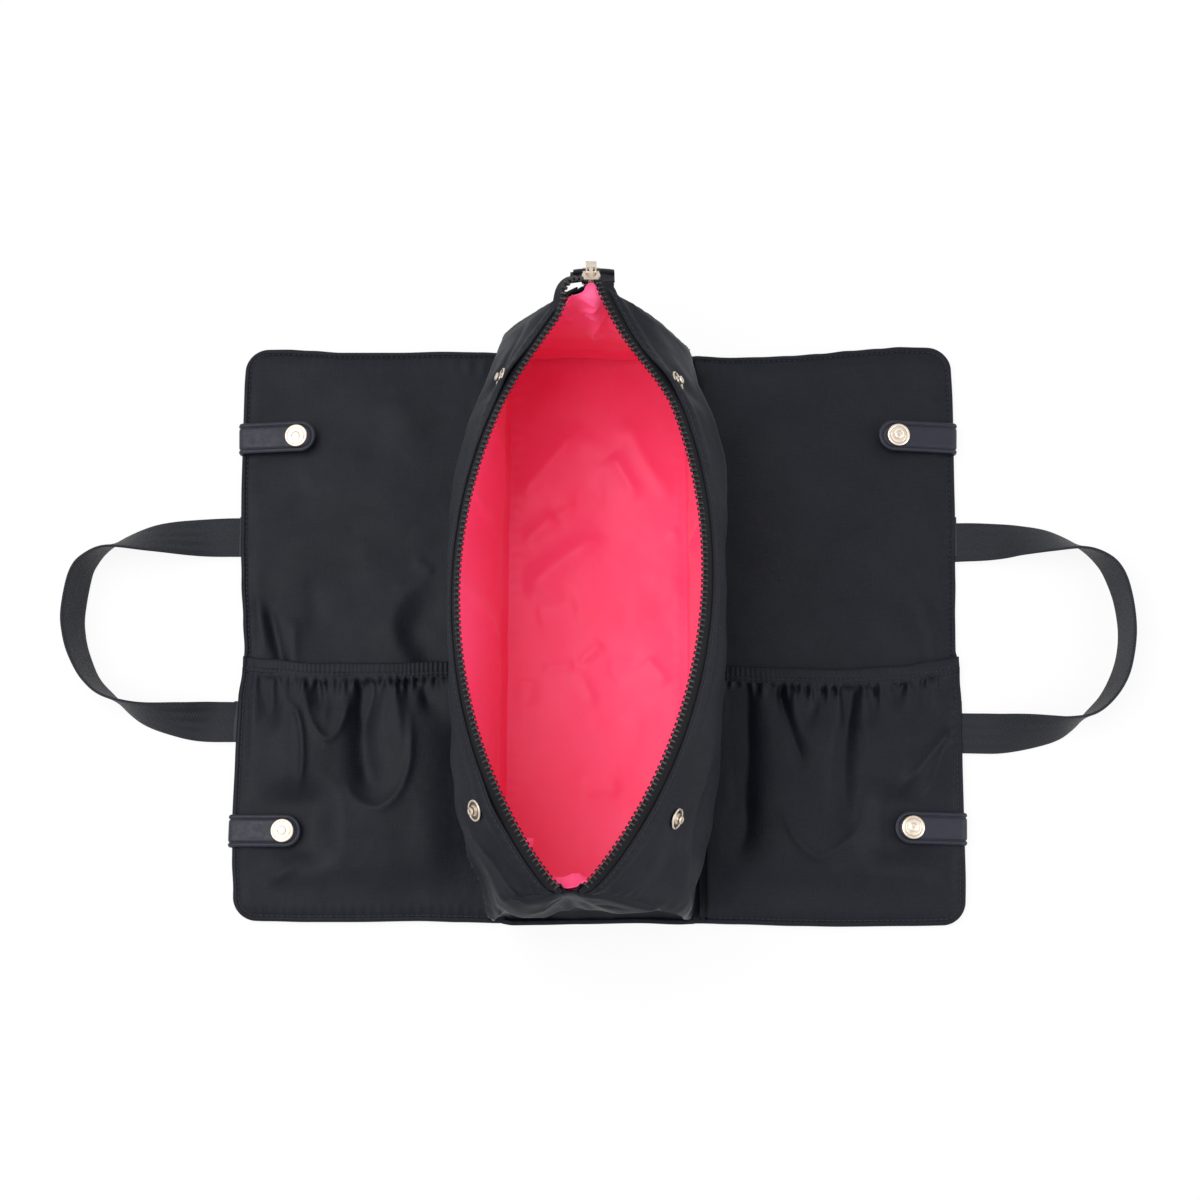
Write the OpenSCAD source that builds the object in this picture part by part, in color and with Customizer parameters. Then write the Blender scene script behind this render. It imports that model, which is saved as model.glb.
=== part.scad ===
// Fold-out zip organiser bag: a soft pouch with a lens-shaped zip mouth stands on a stiffened base,
// and a padded flap with a pocket, two snap tabs and a webbing handle folds out flat on either side.
// +X runs from handle to handle, +Y along the zip towards its slider, +Z up. The origin is the
// centre of the base's underside.

/* [Bag] */
// Length of the flaps and the base along the zip
bag_length = 365; // [358:1:368]
// Width of the stiffened base between the pouch's two side walls
base_width = 114; // [110:1:116]
// Distance from a flap's fold line to its outer edge
flap_reach = 164; // [160:1:170]
// Radius of a flap's outer corners
flap_corner = 14; // [8:1:22]

/* [Pouch] */
// Height of the zip above the floor
rim_height = 146; // [138:1:150]
// Half width of the zip mouth at its widest
mouth_half = 69.5; // [60:0.5:72]
// How far the left wall bulges between base and zip
left_bulge = 11; // [4:1:12]
// How far the right wall bulges between base and zip
right_bulge = 13; // [2:1:14]
// Thickness of the outer fabric with its backing
shell_t = 1.4; // [1.0:0.1:1.5]
// Thickness of the lining
lining_t = 0.8; // [0.6:0.1:0.9]

/* [Zip] */
// Distance from one tooth to the next
tooth_pitch = 3.2; // [3.0:0.1:4.0]
// Width of one tooth along the zip
tooth_w = 1.5; // [1.2:0.1:1.6]
// Length of the two tapes past the pouch
tail_length = 20; // [19:1:24]
// Angle at which the tapes hang down past the pouch
tail_drop = 50; // [30:5:60]

/* [Flap] */
// Height of the pocket's hollow
pocket_puff = 7.5; // [6.5:0.5:9]
// Distance of the pocket's hem from the middle of the bag
hem_y = -19; // [-30:1:-10]
// Width of the elastic hem
hem_w = 8; // [6:1:10]

/* [Handle] */
// Width of the webbing
webbing_w = 25; // [20:1:28]
// Thickness of the webbing
webbing_t = 2; // [1.6:0.1:2.2]
// Lean of the webbing at the top of the loop, from lying flat
webbing_lean = 108; // [94:2:112]

/* [Snaps] */
// Distance of the snaps from the middle of the bag
snap_y = 124; // [110:1:130]
// Radius of a snap's cap
cap_r = 7.2; // [6:0.1:8]
// Width of a snap tab
tab_w = 20; // [18:1:22]
// Length of a snap tab
tab_length = 46.7; // [44:0.1:50]

/* [Hidden] */
$fn = 48;
SIDES = ["left", "right"];
ENDS = ["near", "far"];
TABS = [for (s = SIDES) for (e = ENDS) str(s, "_", e, "_tab")];

black = [0.16, 0.16, 0.18];
black_trim = [0.10, 0.10, 0.12];
leather = [0.17, 0.17, 0.21];
pink = [0.96, 0.26, 0.40];
foam_grey = [0.75, 0.75, 0.75];
board_grey = [0.55, 0.52, 0.48];
gold = [0.91, 0.84, 0.76];

half_l = bag_length / 2;
half_b = base_width / 2;
// Layers of the base, from the floor up
panel_t = 1.2;
board_t = 2.4;
layer_gap = 0.1;
wall_z = panel_t + layer_gap;
floor_z = wall_z + board_t + layer_gap;
seam_inset = 3;
wall_half_l = half_l - seam_inset;
// The lining hangs this far inside the outer fabric, which leaves room for the stud backings
lining_gap = 1.2;
lining_d = shell_t + lining_gap;

// The two ends of the zip mouth, midway between its tapes
near_apex = [-15, -(half_l - 11), rim_height];
far_apex = [-4, half_l - 6, rim_height];
apex_half = 4.5;
// Where the zip tape and the outer fabric meet, as a share of the wall's height
tape_v = 0.915;
tape_top_v = 0.983;
lining_top_v = 0.96;
lining_low_v = (floor_z + lining_t + layer_gap - wall_z) / (rim_height - wall_z);
tape_t = 0.8;
tape_w = 11;
tooth_root = 1.5;
tooth_tip = 2.4;
tooth_t = 2.3;

// Flap layers and its fold line
cover_t = 0.9;
foam_t = 3.8;
flap_t = 2 * cover_t + foam_t + 2 * layer_gap;
fold_clear = 0.8;
fold_x = half_b + 1 + flap_t / 2 + fold_clear;
edge_x = fold_x + flap_reach;
binding_w = 2.4;
cover_inset = binding_w + 0.2;

pocket_x0 = fold_x + 5;
pocket_x1 = edge_x - cover_inset - 1;
pocket_y0 = -half_l + cover_inset + 1;
pocket_y1 = hem_y - hem_w;
pocket_t = 1;
hem_t = 1.8;

handle_y = 58.5;
handle_x = edge_x + webbing_t / 2 + 0.3;
// Half of the handle's centre line, from the flap's seam to the top of the loop: [out, along]
handle_half = [[0, handle_y], [26, handle_y - 0.5], [52, 56], [75, 49.5], [91, 36], [98.5, 18], [100, 0]];
tail_l = 18;

tab_t = 2.2;
tab_x = edge_x - 0.5;
// The tabs are sewn on over the pocket's edge
tab_z = flap_t + layer_gap + pocket_t + 0.3 + tab_t / 2;
tab_tilt = 4.5;
snap_reach = 32.9;

stud_r = 6.2;
// Where each stud sits on its wall: [along the bag, up the wall]
function stud_place(sd, en) = en > 0 ? [0.852, 0.868] : sd < 0 ? [0.136, 0.868] : [0.126, 0.82];

// The slider's start past the far end of the mouth
slider_y0 = 2.5;
slider_l = 10;
slider_gap = 2.9;
slider_plate = 1.3;
slider_half_w = 5.4;

// ---------------------------------------------------------------- helper functions

function mix(a, b, t) = a + (b - a) * t;
function unit(v) = v / norm(v);
function clamp01(t) = min(1, max(0, t));
function smooth(t) = let (c = clamp01(t)) c * c * (3 - 2 * c);
function side_sign(s) = s == "left" ? -1 : 1;
function end_sign(e) = e == "near" ? -1 : 1;

// One span of a Catmull-Rom curve
function span(a, b, c, d, t) = 0.5 * (2 * b + (c - a) * t + (2 * a - 5 * b + 4 * c - d) * t * t
    + (3 * b - a - 3 * c + d) * t * t * t);
// The point at t, from 0 to 1, on a smooth curve through all of p
function along(p, t) = let (
    n = len(p) - 1,
    k = min(floor(t * n), n - 1),
    before = k > 0 ? p[k - 1] : 2 * p[0] - p[1],
    after = k + 2 <= n ? p[k + 2] : 2 * p[n] - p[n - 1])
    span(before, p[k], p[k + 1], after, t * n - k);

// A closed sheet between two grids of points of the same size
module slab(top, bottom) {
    rows = len(top);
    cols = len(top[0]);
    n = rows * cols;
    points = concat([for (r = top) each r], [for (r = bottom) each r]);
    function id(i, j) = i * cols + j;
    function two(a, b, c, d) = [[a, b, c], [a, c, d]];
    faces = concat(
        [for (i = [0:rows - 2]) for (j = [0:cols - 2])
            each two(id(i, j), id(i + 1, j), id(i + 1, j + 1), id(i, j + 1))],
        [for (i = [0:rows - 2]) for (j = [0:cols - 2])
            each two(n + id(i, j), n + id(i, j + 1), n + id(i + 1, j + 1), n + id(i + 1, j))],
        [for (i = [0:rows - 2])
            each two(id(i, 0), n + id(i, 0), n + id(i + 1, 0), id(i + 1, 0))],
        [for (i = [0:rows - 2])
            each two(id(i, cols - 1), id(i + 1, cols - 1), n + id(i + 1, cols - 1), n + id(i, cols - 1))],
        [for (j = [0:cols - 2])
            each two(id(0, j), id(0, j + 1), n + id(0, j + 1), n + id(0, j))],
        [for (j = [0:cols - 2])
            each two(id(rows - 1, j), n + id(rows - 1, j), n + id(rows - 1, j + 1), id(rows - 1, j + 1))]);
    polyhedron(points, faces);
}

// Children placed at p with their z axis along n
module facing(p, n) {
    z = unit(n);
    x = unit(cross(abs(z[1]) > 0.9 ? [1, 0, 0] : [0, 1, 0], z));
    y = cross(z, x);
    multmatrix([[x[0], y[0], z[0], p[0]], [x[1], y[1], z[1], p[1]], [x[2], y[2], z[2], p[2]], [0, 0, 0, 1]])
        children();
}

module on_side(s) {
    if (s == "left") mirror([1, 0, 0]) children();
    else children();
}

// ---------------------------------------------------------------- pouch surfaces

// The corner seams between the side walls and the end gussets, from the base to the zip
function seam_points(sd, en) = en > 0
    ? [[sd * half_b, wall_half_l, wall_z], [sd * (half_b + 3.5), half_l - 9, rim_height * 0.38],
       [sd * (half_b - 2), half_l - (sd < 0 ? 15 : 21), rim_height * 0.67],
       [far_apex[0] + sd * 28, half_l - 12, rim_height * 0.88], far_apex + [sd * apex_half, 0, 0]]
    : [[sd * half_b, -wall_half_l, wall_z], [sd * (half_b + 3), -half_l, rim_height * 0.38],
       [sd * (half_b - 2), -half_l, rim_height * 0.67],
       [near_apex[0] + sd * 30, -(half_l - 7), rim_height * 0.88], near_apex + [sd * apex_half, 0, 0]];
function seam(sd, en, v) = along(seam_points(sd, en), v);

// The zip line of one side, from the near end to the far end, where the right side draws in
function lens_power(sd, u) = 0.88 + (sd > 0 ? 0.4 : 0.1) * smooth((u - 0.78) / 0.15);
function rim(sd, u) = mix(near_apex, far_apex, u)
    + [sd * (apex_half + (mouth_half - apex_half) * pow(4 * u * (1 - u), lens_power(sd, u))), 0, 0];
function wall_foot(sd, u) = [sd * half_b, mix(-wall_half_l, wall_half_l, u), wall_z];

// A side wall's outer surface: u runs along the bag, v from the base to the zip
function wall(sd, u, v) = let (
    near_off = seam(sd, -1, v) - mix(wall_foot(sd, 0), rim(sd, 0), v),
    far_off = seam(sd, 1, v) - mix(wall_foot(sd, 1), rim(sd, 1), v),
    bulge = (sd < 0 ? left_bulge : right_bulge) * sin(180 * pow(v, 2.5)) * pow(sin(180 * clamp01(u)), 0.4))
    mix(wall_foot(sd, u), rim(sd, u), v) + near_off * pow(1 - u, 3) + far_off * pow(u, 3)
    + [sd * bulge, 0, 0];

// An end gusset's outer surface: s runs from the left seam to the right one
gusset_bulge = 5;
function gusset(en, s, v) = mix(seam(-1, en, v), seam(1, en, v), s)
    + [0, en * gusset_bulge * sin(180 * s) * sin(180 * v), 0];

// Outward normals, from neighbouring points
step = 0.01;
function wall_normal(sd, u, v) = let (
    du = wall(sd, min(1, u + step), v) - wall(sd, max(0, u - step), v),
    dv = wall(sd, u, min(1, v + step)) - wall(sd, u, max(0, v - step)))
    sd * unit(cross(du, dv));
function gusset_normal(en, s, v) = let (
    ds = gusset(en, min(1, s + step), v) - gusset(en, max(0, s - step), v),
    dv = gusset(en, s, min(1, v + step)) - gusset(en, s, max(0, v - step)))
    -en * unit(cross(ds, dv));

function wall_in(sd, u, v, d) = wall(sd, u, v) - d * wall_normal(sd, u, v);
function gusset_in(en, s, v, d) = gusset(en, s, v) - d * gusset_normal(en, s, v);

// A layer of a side wall, from depth d0 to d1 under its outer surface
module wall_layer(sd, u0, u1, v0, v1, d0, d1, nu, nv) {
    function grid(d) = [for (i = [0:nu]) [for (j = [0:nv])
        wall_in(sd, mix(u0, u1, i / nu), mix(v0, v1, j / nv), d)]];
    if (sd > 0) slab(grid(d0), grid(d1));
    else slab(grid(d1), grid(d0));
}

// A layer of an end gusset, kept the given distance from the seams
module gusset_layer(en, v0, v1, d0, d1, clear, ns, nv) {
    function share(v) = min(0.35, clear / norm(seam(1, en, v) - seam(-1, en, v)));
    function grid(d) = [for (i = [0:ns]) [for (j = [0:nv])
        let (v = mix(v0, v1, j / nv), c = share(v)) gusset_in(en, mix(c, 1 - c, i / ns), v, d)]];
    if (en < 0) slab(grid(d0), grid(d1));
    else slab(grid(d1), grid(d0));
}

module pouch_wall(s) {
    color(black) wall_layer(side_sign(s), 0, 1, 0, tape_v - 0.004, 0, shell_t, 22, 8);
}

module lining_wall(s) {
    color(pink) wall_layer(side_sign(s), 0.03, 0.97, lining_low_v, lining_top_v,
        lining_d, lining_d + lining_t, 22, 8);
}

module pouch_gusset(e) {
    color(black) gusset_layer(end_sign(e), 0, 0.985, 0, shell_t, 2.2, 10, 10);
}

module lining_end(e) {
    color(pink) gusset_layer(end_sign(e), lining_low_v, 0.86, lining_d, lining_d + lining_t, 5.5, 10, 8);
}

// ---------------------------------------------------------------- base

module base_plate(x, y, z, t) {
    translate([-x / 2, -y / 2, z]) cube([x, y, t]);
}

module base_outer_panel() {
    color(black) base_plate(base_width + 2, bag_length, 0, panel_t);
}

module base_board() {
    color(board_grey) base_plate(base_width - 2 * shell_t - 2, 2 * wall_half_l - 2 * shell_t - 2, wall_z, board_t);
}

module lining_floor() {
    color(pink) base_plate(base_width - 2 * shell_t - 1, 2 * wall_half_l - 2 * shell_t - 2, floor_z, lining_t);
}

// ---------------------------------------------------------------- zip

// Tape edges [outer, inner] at u along the mouth, and at y past its far end
tail_in = 5.1;
function tape_row(sd, u) = [wall_in(sd, u, tape_v, tape_t / 2), wall_in(sd, u, tape_top_v, tape_t / 2)];
function tail_row(sd, y) = [for (x = [tail_in + tape_w, tail_in])
    far_apex + [sd * x, y * cos(tail_drop), -y * sin(tail_drop)]];

// Children drawn flat, moved to hang past the far end of the mouth
module in_tail() {
    translate(far_apex) rotate([-tail_drop, 0, 0]) children();
}

module zip_tape(s) {
    sd = side_sign(s);
    n = 52;
    rows = concat(
        [for (i = [0:n]) tape_row(sd, i / n)],
        [tail_row(sd, 4), tail_row(sd, tail_length)]);
    last = len(rows) - 1;
    function lift(i, j) = let (
        t = rows[min(last, i + 1)][j] - rows[max(0, i - 1)][j],
        a = rows[i][1] - rows[i][0])
        sd * tape_t / 2 * unit(cross(t, a));
    function face(k) = [for (i = [0:last]) [for (j = [0, 1]) rows[i][j] + k * lift(i, j)]];
    color(black_trim)
        if (sd > 0) slab(face(1), face(-1));
        else slab(face(-1), face(1));
}

// Length along one side's zip line against u
rim_steps = 160;
function rim_table(sd) = [for (i = 0, l = 0; i <= rim_steps;
    l = l + norm(rim(sd, (i + 1) / rim_steps) - rim(sd, i / rim_steps)), i = i + 1) [l, i / rim_steps]];

// A block between the directions t, a and n, with a from a0 to a1
module tooth(p, t, a, n) {
    multmatrix([[t[0], a[0], n[0], p[0]], [t[1], a[1], n[1], p[1]], [t[2], a[2], n[2], p[2]], [0, 0, 0, 1]])
        translate([-tooth_w / 2, -tooth_root, -tooth_t / 2])
            cube([tooth_w, tooth_root + tooth_tip, tooth_t]);
}

module zip_teeth(s) {
    sd = side_sign(s);
    table = rim_table(sd);
    whole = table[rim_steps][0];
    // The left row starts half a pitch later, so that the rows mesh
    first = sd < 0 ? tooth_pitch : tooth_pitch / 2;
    color(black_trim) {
        for (l = [first + tooth_pitch:tooth_pitch:whole - tooth_pitch]) {
            u = lookup(l, table);
            p = wall_in(sd, u, 1, tape_t / 2);
            t = unit(rim(sd, min(1, u + step)) - rim(sd, max(0, u - step)));
            n = unit(cross(t, wall(sd, u, 1) - wall(sd, u, 0.96)));
            tooth(p, t, cross(n, t), n);
        }
        in_tail() for (y = [3 + first:tooth_pitch:tail_length - 1.5])
            tooth([sd * (tail_in - tooth_root), y, 0], [0, -sd, 0], [-sd, 0, 0], [0, 0, -1]);
    }
}

module zip_stop() {
    color(gold) in_tail() translate([-5, tail_length + 0.1, -1.5]) cube([10, 1.5, 3]);
}

module zip_end_tab() {
    color(black_trim)
        in_tail() translate([-tail_in - tape_w, tail_length + 1.7, -1.2])
            cube([2 * (tail_in + tape_w), 4.5, 2.4]);
}

// The slider's top and bottom plates are joined by a post that runs between the two rows of teeth
module zip_slider() {
    color(gold) in_tail() translate([0, slider_y0, 0]) {
        for (k = [-1, 1])
            translate([0, 0, k * (slider_gap + slider_plate) / 2]) slider_plate_shape();
        translate([-0.9, 0.6, -slider_gap / 2 - 0.1]) cube([1.8, 3.2, slider_gap + 0.2]);
    }
}

module slider_plate_shape() {
    nose = 3;
    linear_extrude(slider_plate, center = true)
        polygon([[-slider_half_w + 1.2, 0], [slider_half_w - 1.2, 0], [slider_half_w, nose],
            [slider_half_w - 1, slider_l], [-slider_half_w + 1, slider_l], [-slider_half_w, nose]]);
}

slider_top = slider_gap / 2 + slider_plate;
bridge_y = slider_y0 + slider_l / 2;
bridge_h = 3.2;
module zip_slider_bridge() {
    bridge_l = 8;
    bridge_w = 2.2;
    color(gold) in_tail() translate([-bridge_w / 2, bridge_y - bridge_l / 2, slider_top + 0.02])
        difference() {
            cube([bridge_w, bridge_l, bridge_h]);
            translate([-1, 1.4, -1]) cube([bridge_w + 2, bridge_l - 2.8, bridge_h - 0.1]);
        }
}

puller_wire = 0.55;
puller_z = slider_top + 1.25;
puller_eye = 2.6;
module zip_puller() {
    rod_x = 2.6;
    pull_l = 16;
    color(gold) in_tail() translate([0, bridge_y, puller_z]) {
        rotate([0, 90, 0]) cylinder(r = puller_wire, h = 2 * rod_x, center = true);
        for (k = [-1, 1])
            translate([k * rod_x, 0, 0]) rotate([-90, 0, 0]) cylinder(r = puller_wire, h = 6.4);
        translate([-rod_x - puller_wire, 6, -0.7]) cube([2 * (rod_x + puller_wire), pull_l - 6, 1.4]);
    }
}

// ---------------------------------------------------------------- studs on the pouch

module stud(s, e) {
    sd = side_sign(s);
    at = stud_place(sd, end_sign(e));
    n = wall_normal(sd, at[0], at[1]);
    color(gold) facing(wall(sd, at[0], at[1]) + 0.35 * n, n) {
        rotate_extrude() polygon([[0, 0], [stud_r, 0], [stud_r, 0.5], [stud_r - 0.6, 0.9], [3.4, 0.9],
            [2.7, 1.4], [2.7, 2.6], [3.1, 3.2], [2.6, 3.9], [0, 4.1]]);
    }
}

module stud_backings() {
    color(gold) for (s = SIDES) for (e = ENDS) {
        sd = side_sign(s);
        at = stud_place(sd, end_sign(e));
        n = wall_normal(sd, at[0], at[1]);
        facing(wall(sd, at[0], at[1]) - (shell_t + 0.98) * n, -n) cylinder(r = 3.5, h = 0.2);
    }
}

// ---------------------------------------------------------------- flaps, drawn on the right

module flap_outline(inset) {
    r = flap_corner - inset;
    x1 = edge_x - inset;
    y1 = half_l - inset;
    translate([fold_x, -y1]) square([x1 - r - fold_x, 2 * y1]);
    translate([fold_x, -y1 + r]) square([x1 - fold_x, 2 * (y1 - r)]);
    for (k = [-1, 1]) translate([x1 - r, k * (y1 - r)]) circle(r);
}

module flap_sheet(z, t) {
    translate([0, 0, z]) linear_extrude(t) flap_outline(cover_inset);
}

// Room for the webbing's sewn ends inside the flap's edge
module tail_slots(grow) {
    for (k = [-1, 1])
        translate([edge_x - tail_l, k * handle_y - webbing_w / 2 - grow, flap_t / 2 - webbing_t / 2 - grow])
            cube([tail_l + (grow > 0 ? 1 : -0.1), webbing_w + 2 * grow, webbing_t + 2 * grow]);
}

module flap_outer_cover() {
    color(black) flap_sheet(0, cover_t);
}

module flap_foam() {
    color(foam_grey) difference() {
        flap_sheet(cover_t + layer_gap, foam_t);
        tail_slots(0.1);
    }
}

module flap_inner_cover() {
    color(black) flap_sheet(flap_t - cover_t, cover_t);
}

module flap_edge_binding() {
    color(black) difference() {
        linear_extrude(flap_t) difference() {
            flap_outline(0);
            flap_outline(binding_w);
        }
        tail_slots(0.1);
    }
}

module handle_tails() {
    color(black_trim) tail_slots(0);
}

// Height of the pocket's hollow; it is dented where the near snap tab lies on it
function puff(x, y) = let (
    rise = smooth((x - pocket_x0) / 60) * smooth((pocket_x1 - x) / 26),
    foot = smooth((y - pocket_y0) / 30),
    dent = smooth((x - edge_x + 76) / 22) * smooth((44 - abs(y + snap_y)) / 22))
    pocket_puff * rise * foot * (1 - dent);

function pocket_z(x, y) = flap_t + layer_gap + puff(x, y);

module pocket_sheet(y0, y1, t, nx, ny) {
    function grid(d) = [for (i = [0:nx]) [for (j = [0:ny])
        let (x = mix(pocket_x0, pocket_x1, i / nx), y = mix(y0, y1, j / ny))
        [x, y, pocket_z(x, min(y, pocket_y1)) + d]]];
    slab(grid(0), grid(t));
}

module pocket_panel() {
    color(black) pocket_sheet(pocket_y0, pocket_y1 - 0.1, pocket_t, 22, 16);
}

module pocket_elastic() {
    color(black_trim) pocket_sheet(pocket_y1, hem_y, hem_t, 22, 2);
}

// The webbing handle leaves the seam flat, turns on its edge and leans inwards at the top of its loop
function handle_centre(s) = let (
    half = s < 0.5 ? 2 * s : 2 - 2 * s,
    p = along(handle_half, half))
    [handle_x + p[0], (s < 0.5 ? 1 : -1) * p[1], 0];
function handle_turn(s) = webbing_lean * pow(sin(180 * s), 1.2);
function handle_frame(s) = let (
    e = 0.008,
    t = unit(handle_centre(min(1, s + e)) - handle_centre(max(0, s - e))),
    out = cross(t, [0, 0, -1]),
    a = handle_turn(s),
    w = -out * cos(a) + [0, 0, sin(a)],
    drop = smooth(min(s, 1 - s) / 0.18),
    z = mix(flap_t / 2, webbing_t / 2 + 0.1, drop) + webbing_w / 2 * sin(a))
    [handle_centre(s) + [0, 0, z], w, cross(t, w)];

module handle() {
    n = 44;
    function row(i, k) = let (f = handle_frame(i / n))
        [for (j = [-1, 1]) f[0] + j * webbing_w / 2 * f[1] + k * webbing_t / 2 * f[2]];
    color(black_trim) slab([for (i = [0:n]) row(i, 1)], [for (i = [0:n]) row(i, -1)]);
}

// ---------------------------------------------------------------- snap tabs, drawn on the right

// Children in a tab's own frame: origin on its fold line, +X towards the snap, +Z through the cap
module in_tab_frame(e) {
    translate([tab_x, end_sign(e) * snap_y, tab_z]) rotate([0, tab_tilt, 0]) mirror([1, 0, 0]) children();
}

module tab_strap(e) {
    tip_r = tab_w / 2;
    color(leather) in_tab_frame(e) difference() {
        union() {
            translate([0, -tip_r, -tab_t / 2]) cube([tab_length - tip_r, tab_w, tab_t]);
            translate([tab_length - tip_r, 0, 0]) cylinder(r = tip_r, h = tab_t, center = true);
            rotate([90, 0, 0]) cylinder(r = tab_t / 2, h = tab_w, center = true);
        }
        translate([snap_reach, 0, 0]) cylinder(r = 2.2, h = tab_t + 1, center = true);
    }
}

module tab_cap(e) {
    color(gold) in_tab_frame(e) translate([snap_reach, 0, tab_t / 2 + 0.05]) rotate_extrude()
        polygon([[0, -tab_t - 0.6], [2, -tab_t - 0.6], [2, 0], [cap_r - 0.4, 0], [cap_r, 0.5],
            [cap_r, 1.0], [cap_r - 0.7, 1.6], [cap_r - 1.6, 1.7], [0, 2.1]]);
}

module tab_socket(e) {
    color(gold) in_tab_frame(e) translate([snap_reach, 0, -tab_t / 2 - 0.05]) rotate_extrude()
        polygon([[2.1, 0], [6, 0], [6, -0.6], [4.8, -0.8], [4.6, -2.1], [3.4, -2.1], [3.3, -0.8], [2.1, -0.8]]);
}

// ---------------------------------------------------------------- nodes

base_outer_panel();
base_board();
lining_floor();
zip_stop();
zip_end_tab();
stud_backings();
zip_slider();
zip_slider_bridge();
zip_puller();
for (e = ENDS) {
    pouch_gusset(e);
    lining_end(e);
}
for (s = SIDES) {
    pouch_wall(s);
    lining_wall(s);
    zip_tape(s);
    zip_teeth(s);
    on_side(s) {
        flap_outer_cover();
        flap_foam();
        flap_inner_cover();
        flap_edge_binding();
        pocket_panel();
        pocket_elastic();
        handle_tails();
        handle();
    }
    for (e = ENDS) {
        stud(s, e);
        on_side(s) {
            tab_strap(e);
            tab_cap(e);
            tab_socket(e);
        }
    }
}
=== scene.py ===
import math

import bpy
import numpy as np
from mathutils import Matrix, Vector


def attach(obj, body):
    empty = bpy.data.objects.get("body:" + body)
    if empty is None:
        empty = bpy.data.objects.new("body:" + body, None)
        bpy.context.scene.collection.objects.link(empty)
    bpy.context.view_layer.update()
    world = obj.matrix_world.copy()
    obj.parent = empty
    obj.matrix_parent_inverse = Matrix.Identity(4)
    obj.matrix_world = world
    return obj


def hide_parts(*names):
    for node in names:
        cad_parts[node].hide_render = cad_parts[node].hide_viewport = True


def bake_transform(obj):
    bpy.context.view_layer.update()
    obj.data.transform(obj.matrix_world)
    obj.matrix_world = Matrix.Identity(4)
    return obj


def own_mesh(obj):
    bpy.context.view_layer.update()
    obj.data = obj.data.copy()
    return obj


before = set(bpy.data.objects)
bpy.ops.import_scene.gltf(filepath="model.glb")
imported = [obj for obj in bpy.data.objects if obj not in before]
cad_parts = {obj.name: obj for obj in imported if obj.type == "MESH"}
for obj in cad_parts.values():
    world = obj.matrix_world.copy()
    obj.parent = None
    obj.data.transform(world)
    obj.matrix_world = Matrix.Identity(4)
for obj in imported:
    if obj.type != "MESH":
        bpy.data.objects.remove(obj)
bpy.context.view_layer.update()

# Shapes are worked out in millimetres and made into meshes in metres.
MM = 0.001
LEFT, RIGHT = -1, 1
NEAR, FAR = -1, 1
SIDE_NAME = {LEFT: "left", RIGHT: "right"}
END_NAME = {NEAR: "near", FAR: "far"}


# ---- camera

CAMERA_AIM = (0.00114, 0.01854, 0.0)
CAMERA_DISTANCE = 1.3811
CAMERA_TILT = 0.18614  # radians from straight down, towards the near end
CAMERA_LENS = 66.03


def make_camera():
    data = bpy.data.cameras.new("camera")
    data.lens = CAMERA_LENS
    data.sensor_width = 36.0
    data.clip_start = 0.01
    cam = bpy.data.objects.new("camera", data)
    bpy.context.scene.collection.objects.link(cam)
    c, s = math.cos(CAMERA_TILT), math.sin(CAMERA_TILT)
    back = Vector((0, -s, c))
    up = Vector((0, c, s))
    at = Vector(CAMERA_AIM) + back * CAMERA_DISTANCE
    turn = Matrix((Vector((1, 0, 0)), up, back)).transposed()
    cam.matrix_world = Matrix.Translation(at) @ turn.to_4x4()
    bpy.context.scene.camera = cam


make_camera()


# ---- numbers

def mix(a, b, t):
    return a + (b - a) * t


def smooth(t):
    t = np.clip(t, 0.0, 1.0)
    return t * t * (3 - 2 * t)


def bell(d, w):
    return np.exp(-((d / w) ** 2))


def unit(v):
    return v / np.maximum(np.linalg.norm(v, axis=-1, keepdims=True), 1e-9)


def table(pairs, x):
    """A smooth value at x from [(place, value), ...]."""
    p = np.asarray(pairs, float)
    x = np.clip(x, p[0, 0], p[-1, 0])
    k = np.clip(np.searchsorted(p[:, 0], x, side="right") - 1, 0, len(p) - 2)
    t = (x - p[k, 0]) / (p[k + 1, 0] - p[k, 0])
    return mix(p[k, 1], p[k + 1, 1], t * t * (3 - 2 * t))


def along(points, t):
    """The point at t, from 0 to 1, on a smooth curve through all the points."""
    p = np.asarray(points, float)
    n = len(p) - 1
    p = np.vstack([2 * p[0] - p[1], p, 2 * p[n] - p[n - 1]])
    t = np.clip(np.asarray(t, float), 0, 1) * n
    k = np.minimum(t.astype(int), n - 1)
    f = (t - k)[..., None]
    a, b, c, d = p[k], p[k + 1], p[k + 2], p[k + 3]
    return 0.5 * (2 * b + (c - a) * f + (2 * a - 5 * b + 4 * c - d) * f**2
                  + (3 * b - a - 3 * c + d) * f**3)


def noise(x, y, scale, seed):
    """Smooth value noise from -1 to 1 with features of the given size."""
    grid = np.random.RandomState(seed).uniform(-1, 1, (64, 64))
    u, v = x / scale + 17.3, y / scale + 9.1
    i, j = np.floor(u).astype(int), np.floor(v).astype(int)
    a, b = smooth(u - i), smooth(v - j)
    i, j = i % 64, j % 64
    i1, j1 = (i + 1) % 64, (j + 1) % 64
    return mix(mix(grid[i, j], grid[i1, j], a), mix(grid[i, j1], grid[i1, j1], a), b)


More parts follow.
